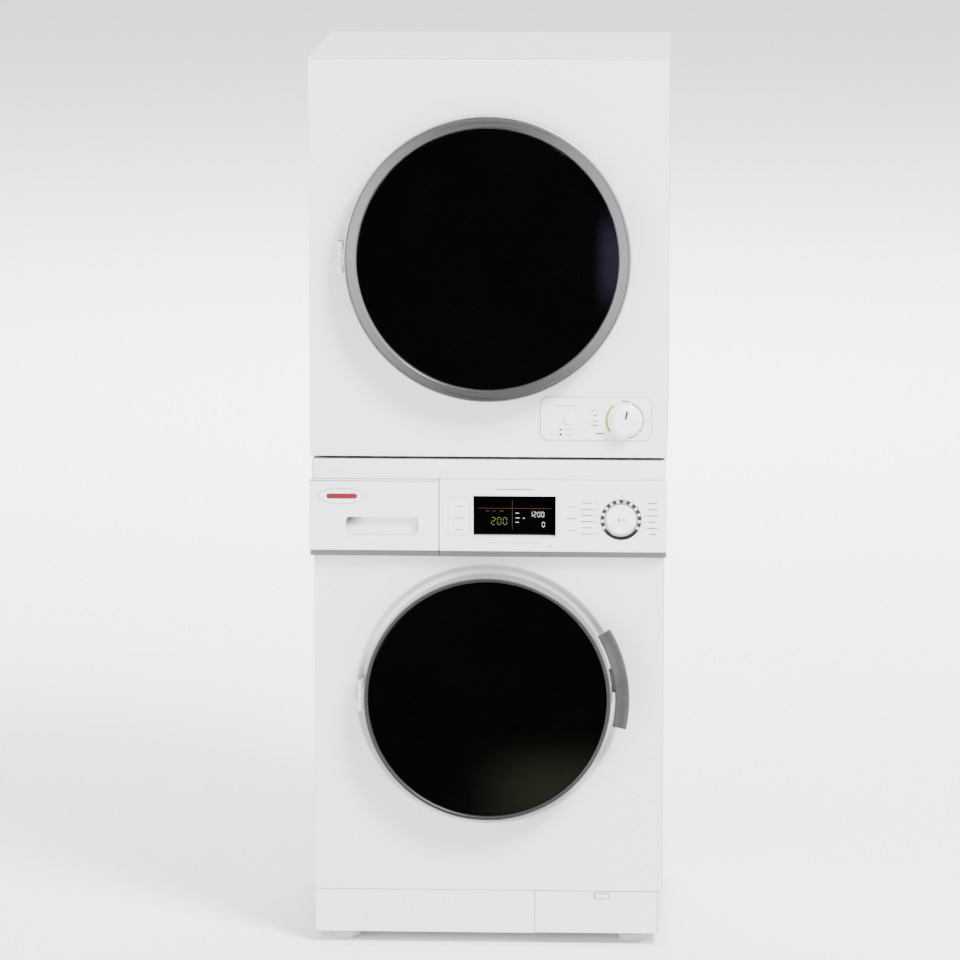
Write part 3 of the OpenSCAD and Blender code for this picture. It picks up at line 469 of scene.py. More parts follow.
door_glass = dark_pane("black door glass")
enamel = skinned("white enamel", (0.83, 0.84, 0.86), (0.8, 0.81, 0.83), 0.4, 420, (0.18, 0.28), 0.02, 0.05,
                 Coat_Weight=0.35, Coat_Roughness=0.12)
front_plastic = skinned("white moulded plastic", (0.84, 0.85, 0.87), (0.81, 0.82, 0.84), 0.4, 1500,
                        (0.28, 0.4), 0.02, 0.08)
key_plastic = skinned("white knob plastic", (0.88, 0.89, 0.9), (0.85, 0.86, 0.87), 0.3, 1100, (0.22, 0.32),
                      0.0, 0.05)
laminate = skinned("white laminate", (0.84, 0.85, 0.87), (0.81, 0.82, 0.83), 0.5, 1300, (0.3, 0.42), 0.02, 0.1)
liner_plastic = skinned("pale inner plastic", (0.62, 0.64, 0.66), (0.55, 0.57, 0.6), 0.6, 1000, (0.4, 0.55),
                        0.06, 0.12)
grey_plastic = skinned("grey grip plastic", (0.04, 0.041, 0.043), (0.03, 0.031, 0.033), 0.6, 1600, (0.33, 0.46),
                       0.03, 0.16)
dark_plastic = skinned("dark moulded plastic", (0.03, 0.03, 0.032), (0.045, 0.045, 0.047), 0.5, 1200,
                       (0.4, 0.55), 0.05, 0.15)
rubber = skinned("gasket rubber", (0.16, 0.165, 0.17), (0.12, 0.125, 0.13), 0.6, 800, (0.5, 0.68), 0.1, 0.2)
black_rubber = skinned("black rubber", (0.02, 0.02, 0.021), (0.035, 0.035, 0.035), 0.6, 700, (0.55, 0.75), 0.12,
                       0.25)
cast_iron = skinned("grey casting", (0.2, 0.2, 0.21), (0.14, 0.14, 0.145), 0.8, 240, (0.55, 0.75), 0.12, 0.5)
tub_plastic = skinned("tub plastic", (0.34, 0.35, 0.37), (0.28, 0.29, 0.31), 0.6, 700, (0.45, 0.6), 0.1, 0.2)
blue_plastic = skinned("valve plastic", (0.05, 0.16, 0.42), (0.04, 0.12, 0.34), 0.5, 900, (0.35, 0.5), 0.05, 0.12)
bowl_glass = skinned("bowl glass", (0.55, 0.6, 0.6), (0.5, 0.56, 0.56), 0.5, 40, (0.02, 0.08), 0.02, 0.02,
                     Transmission_Weight=0.9, IOR=1.47)
# The three print colours below also serve as painted shade: in seam gaps, groove lines, slot floors and under the
# filter clip.
grey_print_and_shade = skinned("grey print and painted shade", (0.075, 0.078, 0.085), (0.11, 0.11, 0.115), 0.6, 1400, (0.45, 0.6), 0.0, 0.04)
faint_print_and_shade = skinned("faint print and painted shade", (0.2, 0.205, 0.215), (0.26, 0.265, 0.27), 0.6, 1400, (0.45, 0.6), 0.0, 0.04)
black_print_and_shade = skinned("black print and painted shade", (0.02, 0.02, 0.022), (0.04, 0.04, 0.04), 0.6, 1400, (0.4, 0.55), 0.0, 0.04)
zinc = skinned("zinc sheet", (0.6, 0.61, 0.63), (0.48, 0.49, 0.52), 0.9, 160, (0.32, 0.5), 0.05, 0.15, Metallic=1.0)
silver_trim = skinned("silver trim", (0.21, 0.21, 0.22), (0.17, 0.17, 0.18), 0.7, 1200, (0.3, 0.42), 0.0, 0.05,
                      Metallic=0.25)
aluminium = skinned("cast aluminium", (0.62, 0.62, 0.63), (0.5, 0.5, 0.51), 0.8, 200, (0.35, 0.5), 0.05, 0.3,
                    Metallic=1.0)
# painted sheen: the brushed door ring runs from pale grey at the sides to near black at top and bottom
dryer_silver = brushed("brushed door ring", dryer_centre, (0.27, 0.27, 0.28), (0.022, 0.022, 0.024), 900,
                       (0.24, 0.38), Metallic=0.55)
dryer_bright = brushed("polished door edge", dryer_centre, (0.5, 0.5, 0.52), (0.38, 0.38, 0.4), 500,
                       (0.1, 0.18), Metallic=0.6)
washer_silver = brushed("dark door ring", washer_centre, (0.045, 0.045, 0.047), (0.028, 0.028, 0.03), 900,
                        (0.3, 0.42), Metallic=0.35)
washer_bright = brushed("bright ring edge", washer_centre, (0.32, 0.32, 0.33), (0.24, 0.24, 0.25), 500,
                        (0.14, 0.24), Metallic=0.5)
washer_steel = brushed("washer drum steel", washer_centre, (0.66, 0.66, 0.67), (0.52, 0.52, 0.54), 300, (0.2, 0.34))
dryer_steel = brushed("dryer drum steel", dryer_centre, (0.62, 0.62, 0.63), (0.5, 0.5, 0.52), 300, (0.22, 0.38))
ring_metal = brushed("programme ring metal", knob_centre, (0.04, 0.04, 0.042), (0.02, 0.02, 0.021), 2500,
                     (0.22, 0.34), Metallic=0.5)
paints = {name: skinned(name + " print", color, color, 0.2, 1400, (0.4, 0.55), 0.0, 0.04) for name, color in (
    ("green", (0.24, 0.36, 0.02)), ("teal", (0.03, 0.28, 0.2)), ("orange", (0.45, 0.12, 0.008)),
    ("red", (0.3, 0.02, 0.01)), ("pink", (0.42, 0.12, 0.11)), ("crimson", (0.16, 0.006, 0.01)),
    ("blue", (0.12, 0.2, 0.5)), ("pale grey", (0.72, 0.73, 0.75)))}


def lit(name, color, strength):
    """A lamp or display segment: a dark lens with its own light."""
    return skinned(name, tuple(c * 0.6 for c in color), color, 0.2, 1200, (0.3, 0.4), 0.0, 0.02,
                   Emission_Color=(*color, 1), Emission_Strength=strength)


display_white = lit("white segments", (0.55, 0.58, 0.62), 0.5)
display_green = lit("green segments", (0.1, 0.11, 0.03), 0.2)
display_red = lit("red lines", (0.09, 0.016, 0.014), 0.2)
violet_lamp = lit("violet lamp", (0.35, 0.33, 0.9), 0.5)


def painted_light_blend(material, color, *fades):
    """Paints light or shade into a material: mixes a colour in where it fades in along each of the given axes, from
    one place to the other.
    """
    tree = material.node_tree
    shader = tree.nodes["Principled BSDF"]
    spot = add_node(tree, "ShaderNodeTexCoord", (-1200, 400))
    split_spot = add_node(tree, "ShaderNodeSeparateXYZ", (-1000, 400))
    tree.links.new(spot.outputs["Object"], split_spot.inputs[0])
    amount = 1.0
    for axis, near, far in fades:
        fade = add_node(tree, "ShaderNodeMapRange", (-800, 400), interpolation_type="SMOOTHSTEP")
        for label, source in (("From Min", near), ("From Max", far), ("Value", split_spot.outputs[axis])):
            feed(tree, fade.inputs[label], source)
        amount = reckon(tree, "MULTIPLY", (-600, 400), fade.outputs[0], amount)
    plain = shader.inputs["Base Color"].links[0].from_socket
    tree.links.new(blended(tree, amount, plain, (*color, 1), (-300, 400)), shader.inputs["Base Color"])
    return material


# painted reflection: a faint greenish glow in the lower right of the washer window
washer_window_painted_reflection = painted_light_blend(dark_pane("washer window glass, painted reflection"), (0.006, 0.0066, 0.0042),
                     ("Z", washer_centre[1] - 0.05, washer_centre[1] - 0.16), ("X", -0.06, 0.1))
# painted reflection: a faint violet glow on the dryer glass near its right edge, around mid height
dryer_glass_painted_reflection = painted_light_blend(dark_pane("dryer door glass, painted reflection"), (0.007, 0.0052, 0.0105), ("X", 0.17, 0.205),
                    *[("Z", dryer_centre[1] + side * 0.1, dryer_centre[1] + side * 0.02) for side in (-1, 1)])
print("materials:", len(bpy.data.materials))

# %% [markdown]
# ## Dryer cabinet
# On the real machine this is folded and enamelled sheet. Each face is a softened slab with its openings
# cut by applied Booleans, so light catches a thin line along every edge.

# %% Dryer front with its round mouth, panel window and hinge slots
low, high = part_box("dryer_front_panel")
dryer_floor, dryer_lid = low[2], high[2]
dryer_front = slab("dryer_front_sheet", low, high, 0.9)
panel_low, panel_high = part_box("control_panel")
mouth = bore(*dryer_centre, 0.19, 128)
overlap = 0.0037
window = tablet("window", (panel_low[0] + overlap, front - 0.02, panel_low[2] + overlap),
                (panel_high[0] - overlap, front + 0.02, panel_high[2] - overlap), 14)
dz = dryer_centre[1]
latch_slot = slab("slot", (0.217, front - 0.01, dz - 0.012), (0.235, front + 0.01, dz + 0.012))
hinge_slots = [slab("slot", (-dryer_r - 0.012, front - 0.01, dz + z - 0.007),
                    (-dryer_r + 0.0002, front + 0.01, dz + z + 0.007), 0.5) for z in (-0.02, 0.02)]
cut(dryer_front, mouth, window, latch_slot, *hinge_slots)
finished(dryer_front, enamel, "base", "dryer_front_panel", slot="enamel")
print("dryer front faces:", len(dryer_front.data.polygons))

# %% Dryer top, a plate with a turned-down look and a slot row at the front left
low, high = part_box("dryer_top")
lid = slab("dryer_lid", low, high, 1.2)
slot_lefts = (-0.24, -0.11, 0.19)
slots = [slab("slot", (x, front + 0.022, high[2] - 0.0012), (x + 0.05, front + 0.027, high[2] + 0.01), 0.8)
         for x in slot_lefts]
cut(lid, *slots)
finished(lid, enamel, "base", "dryer_top", slot="enamel")
# painted shade: dark sheets on the floors of the shallow slots stand in for the shade inside the vents
slot_shade_sheets = [slab("slot_shade", (x + 0.0005, front + 0.0225, high[2] - 0.0014),
               (x + 0.0495, front + 0.0265, high[2] - 0.0009), 0.1) for x in slot_lefts]
finished(together("lid_slot_shade", slot_shade_sheets), grey_print_and_shade, "base", slot="dark_plastic")
# painted shade: a dark strip in the joint under the lid's front edge stands in for the shade in the gap
lid_seam_shade = slab("lid_seam_shade", (low[0] + 0.001, front + 0.0001, low[2] - 0.0002),
                (high[0] - 0.001, front + 0.0012, low[2] + 0.0007), 0.1)
finished(lid_seam_shade, grey_print_and_shade, "base", slot="dark_plastic")

# %% Side walls with a shallow pressed field
def side_wall(name, sign, outer, thick, y0, y1, z0, z1, notch=None):
    """One cabinet side: a slab whose outside carries a pressed frame."""
    inner = outer - thick
    xs = sorted((sign * outer, sign * inner))
    wall = slab(name, (xs[0], y0, z0), (xs[1], y1, z1), 0.7)
    pick(wall, "faces", lambda face: face.normal.x * sign > 0.99)
    bpy.ops.mesh.inset(thickness=0.045, depth=0)
    bpy.ops.mesh.inset(thickness=0.004, depth=-0.0014)
    bpy.ops.object.mode_set(mode="OBJECT")
    if notch:
        cut(wall, notch)
    return wall


dryer_half = high[0]
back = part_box("dryer_back_panel")[1][1]
sheet = 0.002
dryer_walls = []
for sign in (-1, 1):
    wall = side_wall("dryer_side", sign, dryer_half, sheet, front + sheet, back - sheet, dryer_floor, dryer_lid)
    inner = dryer_half - sheet
    xs = sorted((sign * inner, sign * (inner - 0.02)))
    dryer_walls += [wall, slab("flange", (xs[0], front + sheet, dryer_floor + 0.003),
                               (xs[1], front + 2 * sheet, dryer_lid), 0.4),
                    slab("flange", (xs[0], back - 2 * sheet, dryer_floor + 0.003),
                         (xs[1], back - sheet, dryer_lid), 0.4)]
finished(together("dryer_side_walls", dryer_walls), enamel, "base", "dryer_sides", slot="enamel")

# %% [markdown]
# ## Back panels
# The backs are bare zinc sheet with pressed stiffening fields, vent slots, and bores for the fittings.

# %% Back panels with pressed fields and louvres
def back_sheet(name, node, fields, holes):
    low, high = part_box(node)
    sheet_back = slab(name, low, high, 0.6)
    tools = [tablet("field", (x0, high[1] - 0.0014, z0), (x1, high[1] + 0.01, z1), 20, 1.3)
             for x0, x1, z0, z1 in fields]
    return cut(sheet_back, *tools, *[bore(x, z, r, y=high[1]) for x, z, r in holes])


dryer_back = back_sheet("dryer_back_sheet", "dryer_back_panel",
                        [(-0.26, 0.26, 1.02, 1.47), (-0.1, 0.19, 0.87, 0.98)],
                        [(-0.2, 0.925, 0.0518), (0.23, 0.899, 0.008)])
louvres = [tablet("louvre", (x, back - 0.01, z), (x + 0.07, back + 0.01, z + 0.005), 2.4)
           for x in (-0.16, -0.07, 0.02, 0.11) for z in (1.36, 1.375, 1.39, 1.405)]
cut(dryer_back, *louvres)
finished(dryer_back, zinc, "base", "dryer_back_panel", slot="zinc")
washer_back = back_sheet("washer_back_sheet", "washer_back_panel", [(-0.2, 0.2, 0.16, 0.62)],
                         [(-0.23, 0.741, 0.014), (-0.18, 0.741, 0.014), (0.2, 0.741, 0.011),
                          (0.245, 0.691, 0.008)])
finished(washer_back, zinc, "base", "washer_back_panel", slot="zinc")

# %% [markdown]
# ## Dryer door
# A bright thin edge, a broad brushed ring that slopes in, and a nearly flat black glass. All are turned
# outlines, because every section through the centre is the same.

# %% Dryer door ring, edge and glass
R, G = dryer_r / MM, glass_r / MM
ring = turned("dryer_ring", dryer_centre, [
    (G + 0.3, -40), (G + 3.0, -45.6), (R - 4.5, -43.5), (R - 2.6, -41), (R - 2.6, -14), (R - 5, -11),
    (R - 24, -9.5), (R - 24, -14), (R - 8, -16), (R - 7, -34), (R - 18, -37.5), (R - 18, -32), (G - 8, -32),
    (G - 8, -37), (G + 0.3, -37), (G + 0.3, -40)], 160)
edge = turned("dryer_edge", dryer_centre, [
    (R - 2.6, -41), (R - 1.4, -41.6), (R, -38.5), (R, -5), (R - 1, -4), (R - 24, -4), (R - 24, -9.5), (R - 5, -11),
    (R - 2.6, -14), (R - 2.6, -41)], 160, soft=0.4)
for piece in (ring, edge):
    cut(piece, slab("notch", (dryer_r - 0.023, front - 0.026, dz + 0.02),
                    (dryer_r + 0.001, front - 0.003, dz + 0.09), 0.8))
knuckle_x = -dryer_r - 0.006


def knuckle(name, x, web_end, deep, z):
    """A hinge barrel in front of the cabinet and the web that ties it to the ring."""
    foot, top = z - 0.013, z + 0.013
    return together(name, [barrel("bar", (x, front - deep, foot), (x, front - deep, top), 5),
                           slab("web", (x, front - deep - 0.003, foot), (web_end, front - deep + 0.003, top), 0.5)])


hinge = knuckle("dryer_knuckle", knuckle_x, -dryer_r + 0.003, 0.018, dz)
hook = slab("dryer_hook", (0.222, front - 0.006, dz - 0.007), (0.227, front + 0.014, dz + 0.007), 0.8)
finished(ring, dryer_silver, "dryer_door", "dryer_door_ring", slot="brushed_silver")
# painted shade: a thin black band stands in for the shade in a groove on the ring
groove = turned("dryer_groove_shade", dryer_centre, [
    (R - 5.2, -43.4), (R - 5.2, -43.85), (R - 4.1, -43.5), (R - 4.1, -43), (R - 5.2, -43.4)], 160, soft=0)
finished(groove, black_print_and_shade, "dryer_door", slot="brushed_silver")
finished(edge, dryer_bright, "dryer_door", slot="brushed_silver")
finished(hinge, enamel, "dryer_door", slot="zinc")
finished(hook, zinc, "dryer_door", slot="zinc")
glass = turned("dryer_glass", dryer_centre, [(0, -44.8)] + [
    (G * k / 12, -42 - 2.8 * (1 - (k / 12) ** 2)) for k in range(1, 12)] + [
    (G - 1, -42.1), (G, -41), (G, -37.4), (0, -37.4)], 160)
# the dryer glass carries a painted reflection near its right edge
finished(glass, dryer_glass_painted_reflection, "dryer_door", "dryer_door_glass", slot="dark_glass")
liner = turned("dryer_liner", dryer_centre, [
    (0, -9), (148, -9), (160, -4.2), (R - 24.5, -4.2), (R - 24.5, -10), (R - 26.5, -18), (G - 20, -31.6),
    (G - 26, -31.6), (164, -12), (0, -12)], 128, soft=1.5)
finished(liner, liner_plastic, "dryer_door", "dryer_door_liner", slot="white_plastic")
print("dryer door done")

# %% [markdown]
# ## Dryer control panel
# A plastic plate with rounded corners, flush in its window; a timer knob with a coloured scale round it, a
# push button with two lamps, and four short labels. Lettering is replaced by plain dashes.

# %% Panel plate with its two bores
low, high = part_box("control_panel")
plate = tablet("panel_plate", (low[0] + 0.004, low[1], low[2] + 0.004),
               (high[0] - 0.004, front + 0.0023, high[2] - 0.004), 14, 0.6)
flange = tablet("panel_flange", (low[0], front + 0.0023, low[2]), high, 18, 0.4)
plate = together("panel_plate", [plate, flange])
cut(plate, bore(*timer_centre, 0.0041), bore(*mode_centre, 0.0096))
finished(plate, front_plastic, "base", "control_panel", slot="white_plastic")
panel_face = low[1]

# %% Timer scale: five arcs of colour on the plate
def arc(name, centre, inner, outer, begin, sweep, face, thick, material, body="base"):
    """A thin printed band round a knob."""
    top = (face - front) / MM
    outline = [(inner, top), (inner, top - thick), (outer, top - thick), (outer, top), (inner, top)]
    band = turned(name, centre, outline, max(6, int(sweep / 5)), sweep, begin, soft=0)
    return finished(band, material, body, slot="white_plastic")


for name, color, begin, sweep, inner, outer in (
        ("scale_green", "green", 128, 88, 29.6, 33.4), ("scale_teal", "teal", 76, 26, 31, 33.6),
        ("scale_orange", "orange", 8, 62, 29.4, 31.6), ("scale_red", "red", -42, 46, 29.2, 31.0),
        ("scale_pink", "pink", -80, 34, 29.4, 31.6)):
    arc(name, timer_centre, inner, outer, begin, sweep, panel_face, 0.12, paints[color])

# %% A thin rounded-rectangle line, used as print and as painted shade along a groove
def outline_frame(name, x0, x1, z0, z1, corner, line, face, material, body="base"):
    """A thin rounded-rectangle line: one tablet with a smaller one taken out."""
    whole = tablet(name, (x0, face - 0.00012, z0), (x1, face + 0.0001, z1), corner, 0.02)
    step = line * MM
    inner = tablet("inner", (x0 + step, face - 0.01, z0 + step), (x1 - step, face + 0.01, z1 - step),
                   corner - line, 0.02)
    return finished(cut(whole, inner), material, body, slot="white_plastic")


# %% Dashes stand in for the labels
def dash(x, z, width, height, face, thick=0.12):
    """One printed dash with rounded corners, centred at x and z in metres; width and height in millimetres."""
    w, h = width * MM / 2, height * MM / 2
    return tablet("dash", (x - w, face - thick * MM, z - h), (x + w, face + 0.0001, z + h),
                  min(width, height) * 0.42, 0.03)


def printed(name, material, marks, face, body="base"):
    """Joins a list of [x, z, width, height] dashes into one printed piece."""
    return finished(together(name, [dash(*mark, face) for mark in marks]), material, body, slot="white_plastic")


tx, tz = timer_centre
bx, bz = mode_centre
printed("panel_labels", grey_print_and_shade, [(bx + 0.044, tz + z, w, 1.7) for z, w in ((0.0085, 7), (-0.0015, 9), (-0.0085, 11))]
        + [(bx + 0.034, tz + z, 2, 2) for z in (0.0085, -0.0015, -0.0085)]
        + [(bx - 0.001, bz - 0.0185 + z, 11, 1.2) for z in (0, -0.0085)], panel_face)
printed("panel_faint", faint_print_and_shade, [(bx + 0.041, tz + 0.0165, 10, 1.4), (tx + 0.039, tz - 0.002, 2.5, 2.5),
        (bx - 0.004, bz + 0.0215, 40, 1.1)], panel_face)
# painted shade: a faint dark line along the groove between the panel plate and its window
line_in = 0.0042
outline_frame("panel_groove_shade", low[0] + line_in, high[0] - line_in, low[2] + line_in, high[2] - line_in, 13.8, 0.5,
              panel_face, faint_print_and_shade)
printed("panel_lamps", black_print_and_shade, [(bx - 0.0135, bz - 0.0185 + z, 5, 3.4) for z in (0, -0.0085)]
        + [(tx - 0.042, tz - 0.0225, 14, 2.2)], panel_face)

# %% Timer knob with a skirt, a cap and a pointer
knob = turned("timer_body", timer_centre, [
    (0, -23.6), (19.5, -24), (22.2, -22), (22.5, -9), (26, -7), (28, -5.6), (28.5, -3.6), (28.5, -1.8), (5, -1.8),
    (4, -1.8), (4, 12), (0, 12)], 96, soft=1.6)
finished(knob, key_plastic, "timer", "timer_knob", slot="white_plastic")
pointer = tablet("timer_pointer", (-0.0017, front - 0.02425, 0.005), (0.0017, front - 0.0236, 0.0195), 1.5, 0.1)
bpy.ops.object.mode_set(mode="EDIT")
bpy.ops.mesh.select_all(action="SELECT")
bpy.ops.transform.rotate(value=math.radians(-10), orient_axis="Y", center_override=(0, front, 0))
bpy.ops.transform.translate(value=(tx, 0, tz))
bpy.ops.object.mode_set(mode="OBJECT")
finished(pointer, black_print_and_shade, "timer", slot="white_plastic")
button = turned("mode_cap", mode_centre, [
    (0, -5), (7.6, -4.8), (9.2, -3.6), (9.5, -2.6), (9.5, 5.6), (0, 5.6)], 64, soft=1.0)
finished(button, key_plastic, "mode_key", "mode_button", slot="white_plastic")
print("dryer controls done")

# %% [markdown]
# ## Washer cabinet
# The front has a round recess that the door sits in: a flat floor, a short cone and a soft rim.

# %% Washer front with its round recess and slots
wx, wz = washer_centre
low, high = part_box("washer_front_panel")
washer_front = slab("washer_front_sheet", (low[0], low[1], low[2]), (high[0], front + 0.002, high[2]), 0.9)
cut(washer_front, bore(wx, wz, 0.224, 160))
dish = turned("washer_dish", washer_centre, [
    (224.1, 0), (223.4, 0.15), (221.5, 1.2), (216.5, 5.6), (213.0, 7.7), (209, 8), (170.2, 8), (170.2, 10),
    (211, 10), (216, 8.4), (224.1, 2), (224.1, 0)], 192, soft=0.6)
tools = [slab("slot", (0.191, front - 0.01, wz - 0.014), (0.209, front + 0.02, wz + 0.014), 0.5)]
tools += [slab("slot", (-0.220, front - 0.01, wz + z - 0.007), (-0.208, front + 0.02, wz + z + 0.007), 0.5)
          for z in (-0.02, 0.02)]
cut(dish, *tools)
finished(together("washer_front_sheet", [washer_front, dish]), enamel, "base", "washer_front_panel", slot="enamel")

# %% Washer sides, worktop and kick plate
side_low, side_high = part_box("washer_sides")
washer_walls = []
trim_foot = 0.670
console_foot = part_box("console")[0][2]
strip_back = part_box("console_trim")[0][1] + 0.0122
for sign in (-1, 1):
    inner = side_high[0] - sheet
    xs = sorted((sign * (inner - 0.001), sign * (side_high[0] + 0.001)))
    notch = slab("notch", (xs[0], front - 0.001, console_foot if sign > 0 else trim_foot),
                 (xs[1], front + 0.034, side_high[2] + 0.001), 0.2)
    wall = side_wall("washer_side", sign, side_high[0], sheet, front + sheet, back - sheet, side_low[2],
                     side_high[2], notch)
    if sign > 0:
        cut(wall, slab("notch", (xs[0], front - 0.001, trim_foot), (xs[1], strip_back, 0.71), 0.1))
    xs = sorted((sign * inner, sign * (inner - 0.018)))
    washer_walls += [wall, slab("flange", (xs[0], back - 2 * sheet, side_low[2] + 0.003),
                                (xs[1], back - sheet, side_high[2]), 0.4)]
finished(together("washer_side_walls", washer_walls), enamel, "base", "washer_sides", slot="enamel")
low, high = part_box("washer_worktop")
worktop = tablet("worktop", low, high, 9, 3.2, axis=2)
finished(worktop, laminate, "base", "washer_worktop", slot="white_plastic")
low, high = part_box("kick_plate")
kick = together("kick_sheet", [slab("kick_sheet", low, high, 0.8),
                               slab("kick_end", (0.2872, low[1], low[2]), (-low[0], high[1], high[2]), 0.8)])
finished(kick, enamel, "base", "kick_plate", slot="enamel")
# painted shade: a dark strip along the top of the kick plate stands in for the shade in the gap
plinth_seam_shade = slab("plinth_seam_shade", (low[0] + 0.001, front + 0.0001, high[2] - 0.0004),
                   (-low[0] - 0.001, front + 0.0016, high[2] + 0.0009), 0.1)
finished(plinth_seam_shade, black_print_and_shade, "base", slot="dark_plastic")
print("washer cabinet done")

# %% Filter flap in the plinth, with its little clip
low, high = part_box("filter_flap")
flap = slab("flap_sheet", (low[0], front, low[2]), (high[0], front + 0.002, high[2]), 0.8)
clip = tablet("clip", (0.181, front - 0.002, 0.082), (0.204, front + 0.0005, 0.09), 2, 0.5)
ears = [slab("ear", (x, front + 0.001, low[2] + 0.001), (x + 0.006, high[1], low[2] + 0.009), 0.6)
        for x in (0.083, 0.275)]
grip_line = slab("groove", (0.184, front - 0.0026, 0.0855), (0.201, front - 0.0012, 0.0865), 0.2)
cut(clip, grip_line)
finished(together("flap_sheet", [flap, clip] + ears), enamel, "flap", "filter_flap", slot="white_plastic")
shadow = tablet("clip_shadow", (0.1796, front - 0.0003, 0.0808), (0.2054, front + 0.0003, 0.0912), 2.4, 0.1)
finished(shadow, grey_print_and_shade, "flap", slot="dark_plastic")

# %% [markdown]
# ## Washer controls
# The console is one moulding with a glass display let into it. The silver strip under it is a slab with softly
# rounded edges, and the drawer front carries the same strip so that the line runs on across the machine.

# %% Console moulding with its pockets
low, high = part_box("console")
face = low[1]
body_piece = tablet("console_shell", (low[0], face, low[2]), (high[0], face + 0.03, high[2]), 2.2, 1.4)
back_block = slab("console_back", (low[0] + 0.002, face + 0.0305, low[2] + 0.002),
                  (high[0] - 0.002, high[1], high[2] - 0.002), 0.8)
glass_low, glass_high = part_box("display_window")
pocket = slab("pocket", (glass_low[0] - 0.0003, face - 0.01, glass_low[2] - 0.0003),
              (glass_high[0] + 0.0003, glass_high[1] + 0.0005, glass_high[2] + 0.0003), 0.3)
kx, kz = knob_centre
cut(body_piece, pocket, bore(kx, kz, 0.0256, 96, face, 0.2))
sleeve = turned("knob_sleeve", knob_centre, [
    (27.5, -7), (27.5, -24.6), (27.1, -25), (25.6, -25), (25.6, -7), (27.5, -7)], 96, soft=0.2)
finished(together("console_shell", [body_piece, back_block]), front_plastic, "base", "console", slot="white_plastic")
finished(sleeve, ring_metal, "base", slot="trim_silver")
print("console face at", face)

# %% Console and drawer trims, brushed silver strips with rounded edges
def strip(name, node, body):
    """A silver strip: a slab with a flat face and rounded edges."""
    low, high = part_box(node)
    piece = slab(name, (low[0], low[1], low[2] + 0.0006), (high[0], low[1] + 0.012, high[2] - 0.0008), 1.2, 4)
    return finished(piece, silver_trim, body, node, slot="trim_silver")


strip("console_strip", "console_trim", "base")
strip("drawer_strip", "drawer_trim", "drawer")

# %% Display glass
display = tablet("display_glass", glass_low, glass_high, 1.2, 0.5)
finished(display, door_glass, "base", "display_window", slot="dark_glass")
display_face = glass_low[1]

# %% [markdown]
# The display's figures are seven-bar digits, each bar a small softened tablet. Gaps between the bars make them read
# as a real display and not as print.

# %% Seven-bar digits
BARS = {"0": "abcdef", "1": "bc", "2": "abged", "3": "abgcd", "4": "fgbc", "5": "afgcd", "8": "abcdefg", "-": "g"}


def digits(name, text, x, z, tall, material, face=display_face, body="base"):
    """Writes seven-bar figures whose lower left corner is at x and z in metres; tall in millimetres."""
    w, thick = tall * 0.5, tall * 0.11
    spots = {"a": (w / 2, tall, 1), "g": (w / 2, tall / 2, 1), "d": (w / 2, 0, 1),
             "f": (0, tall * 0.75, 0), "b": (w, tall * 0.75, 0), "e": (0, tall * 0.25, 0), "c": (w, tall * 0.25, 0)}
    bars = []
    for sign in text:
        if sign in BARS:
            for bar in BARS[sign]:
                across, up, flat = spots[bar]
                long = (w if flat else tall / 2) - thick * 1.3
                size = (long, thick) if flat else (thick, long)
                bars.append(dash(x + across * MM, z + up * MM, *size, face, 0.08))
            x += tall * 0.82 * MM
        else:
            bars += [dash(x, z + tall * k * MM, thick, thick, face, 0.08) for k in (0.3, 0.7)]
            x += tall * 0.34 * MM
    return finished(together(name, bars), material, body, slot="dark_glass")


gx, gz = glass_low[0], glass_low[2]
wide, high_glass = glass_high[0] - gx, glass_high[2] - gz
digits("temperature_digits", "200", gx + 0.03, gz + 0.0175, 12, display_green)
digits("spin_digits", "1200", gx + 0.094, gz + 0.031, 8, display_white)
digits("option_digit", "0", gx + wide - 0.023, gz + 0.014, 8, display_white)
rule = together("display_rules", [
    dash(gx + wide * 0.5, gz + high_glass * 0.66, wide / MM * 0.9, 0.8, display_face, 0.06),
    dash(gx + wide * 0.47, gz + high_glass * 0.5, 0.8, high_glass / MM * 0.72, display_face, 0.06)])
finished(rule, display_red, "base", slot="dark_glass")
marks = [dash(gx + wide * f, gz + z, w, 1.0, display_face, 0.06)
         for f, z, w in ((0.53, 0.037, 6), (0.535, 0.029, 7), (0.53, 0.0215, 6), (0.61, 0.0285, 3))]
finished(together("display_marks", marks), display_white, "base", slot="dark_glass")
words = [dash(gx + wide * f, gz + 0.0405, w, 1.2, display_face, 0.06)
         for f, w in ((0.17, 6), (0.25, 5), (0.34, 7), (0.72, 6), (0.82, 5))]
finished(together("display_words", words), display_red, "base", slot="dark_glass")
print("display done")

# %% [markdown]
# ## Programme knob
# A fixed sleeve carries a turning ring with dark and light segments, and a push button fills the middle.

# %% Programme ring with its segments
ring_body = turned("programme_ring", knob_centre, [
    (27.7, -25.2), (28.6, -26), (33.6, -26), (35, -24.4), (35, -11.2), (34.2, -10.4), (27.7, -10.4),
    (27.7, -25.2)], 128, soft=0.7)
ribs = []
for k in range(60):
    t = math.radians(6 * k + 3)
    rib_x, rib_z = kx + 0.0352 * math.cos(t), kz + 0.0352 * math.sin(t)
    ribs.append(barrel("rib", (rib_x, front - 0.0245, rib_z), (rib_x, front - 0.0115, rib_z), 0.55, 0.15, 8))
cut(ring_body, together("ribs", ribs))
finished(ring_body, ring_metal, "programme_ring", "programme_knob", slot="trim_silver")


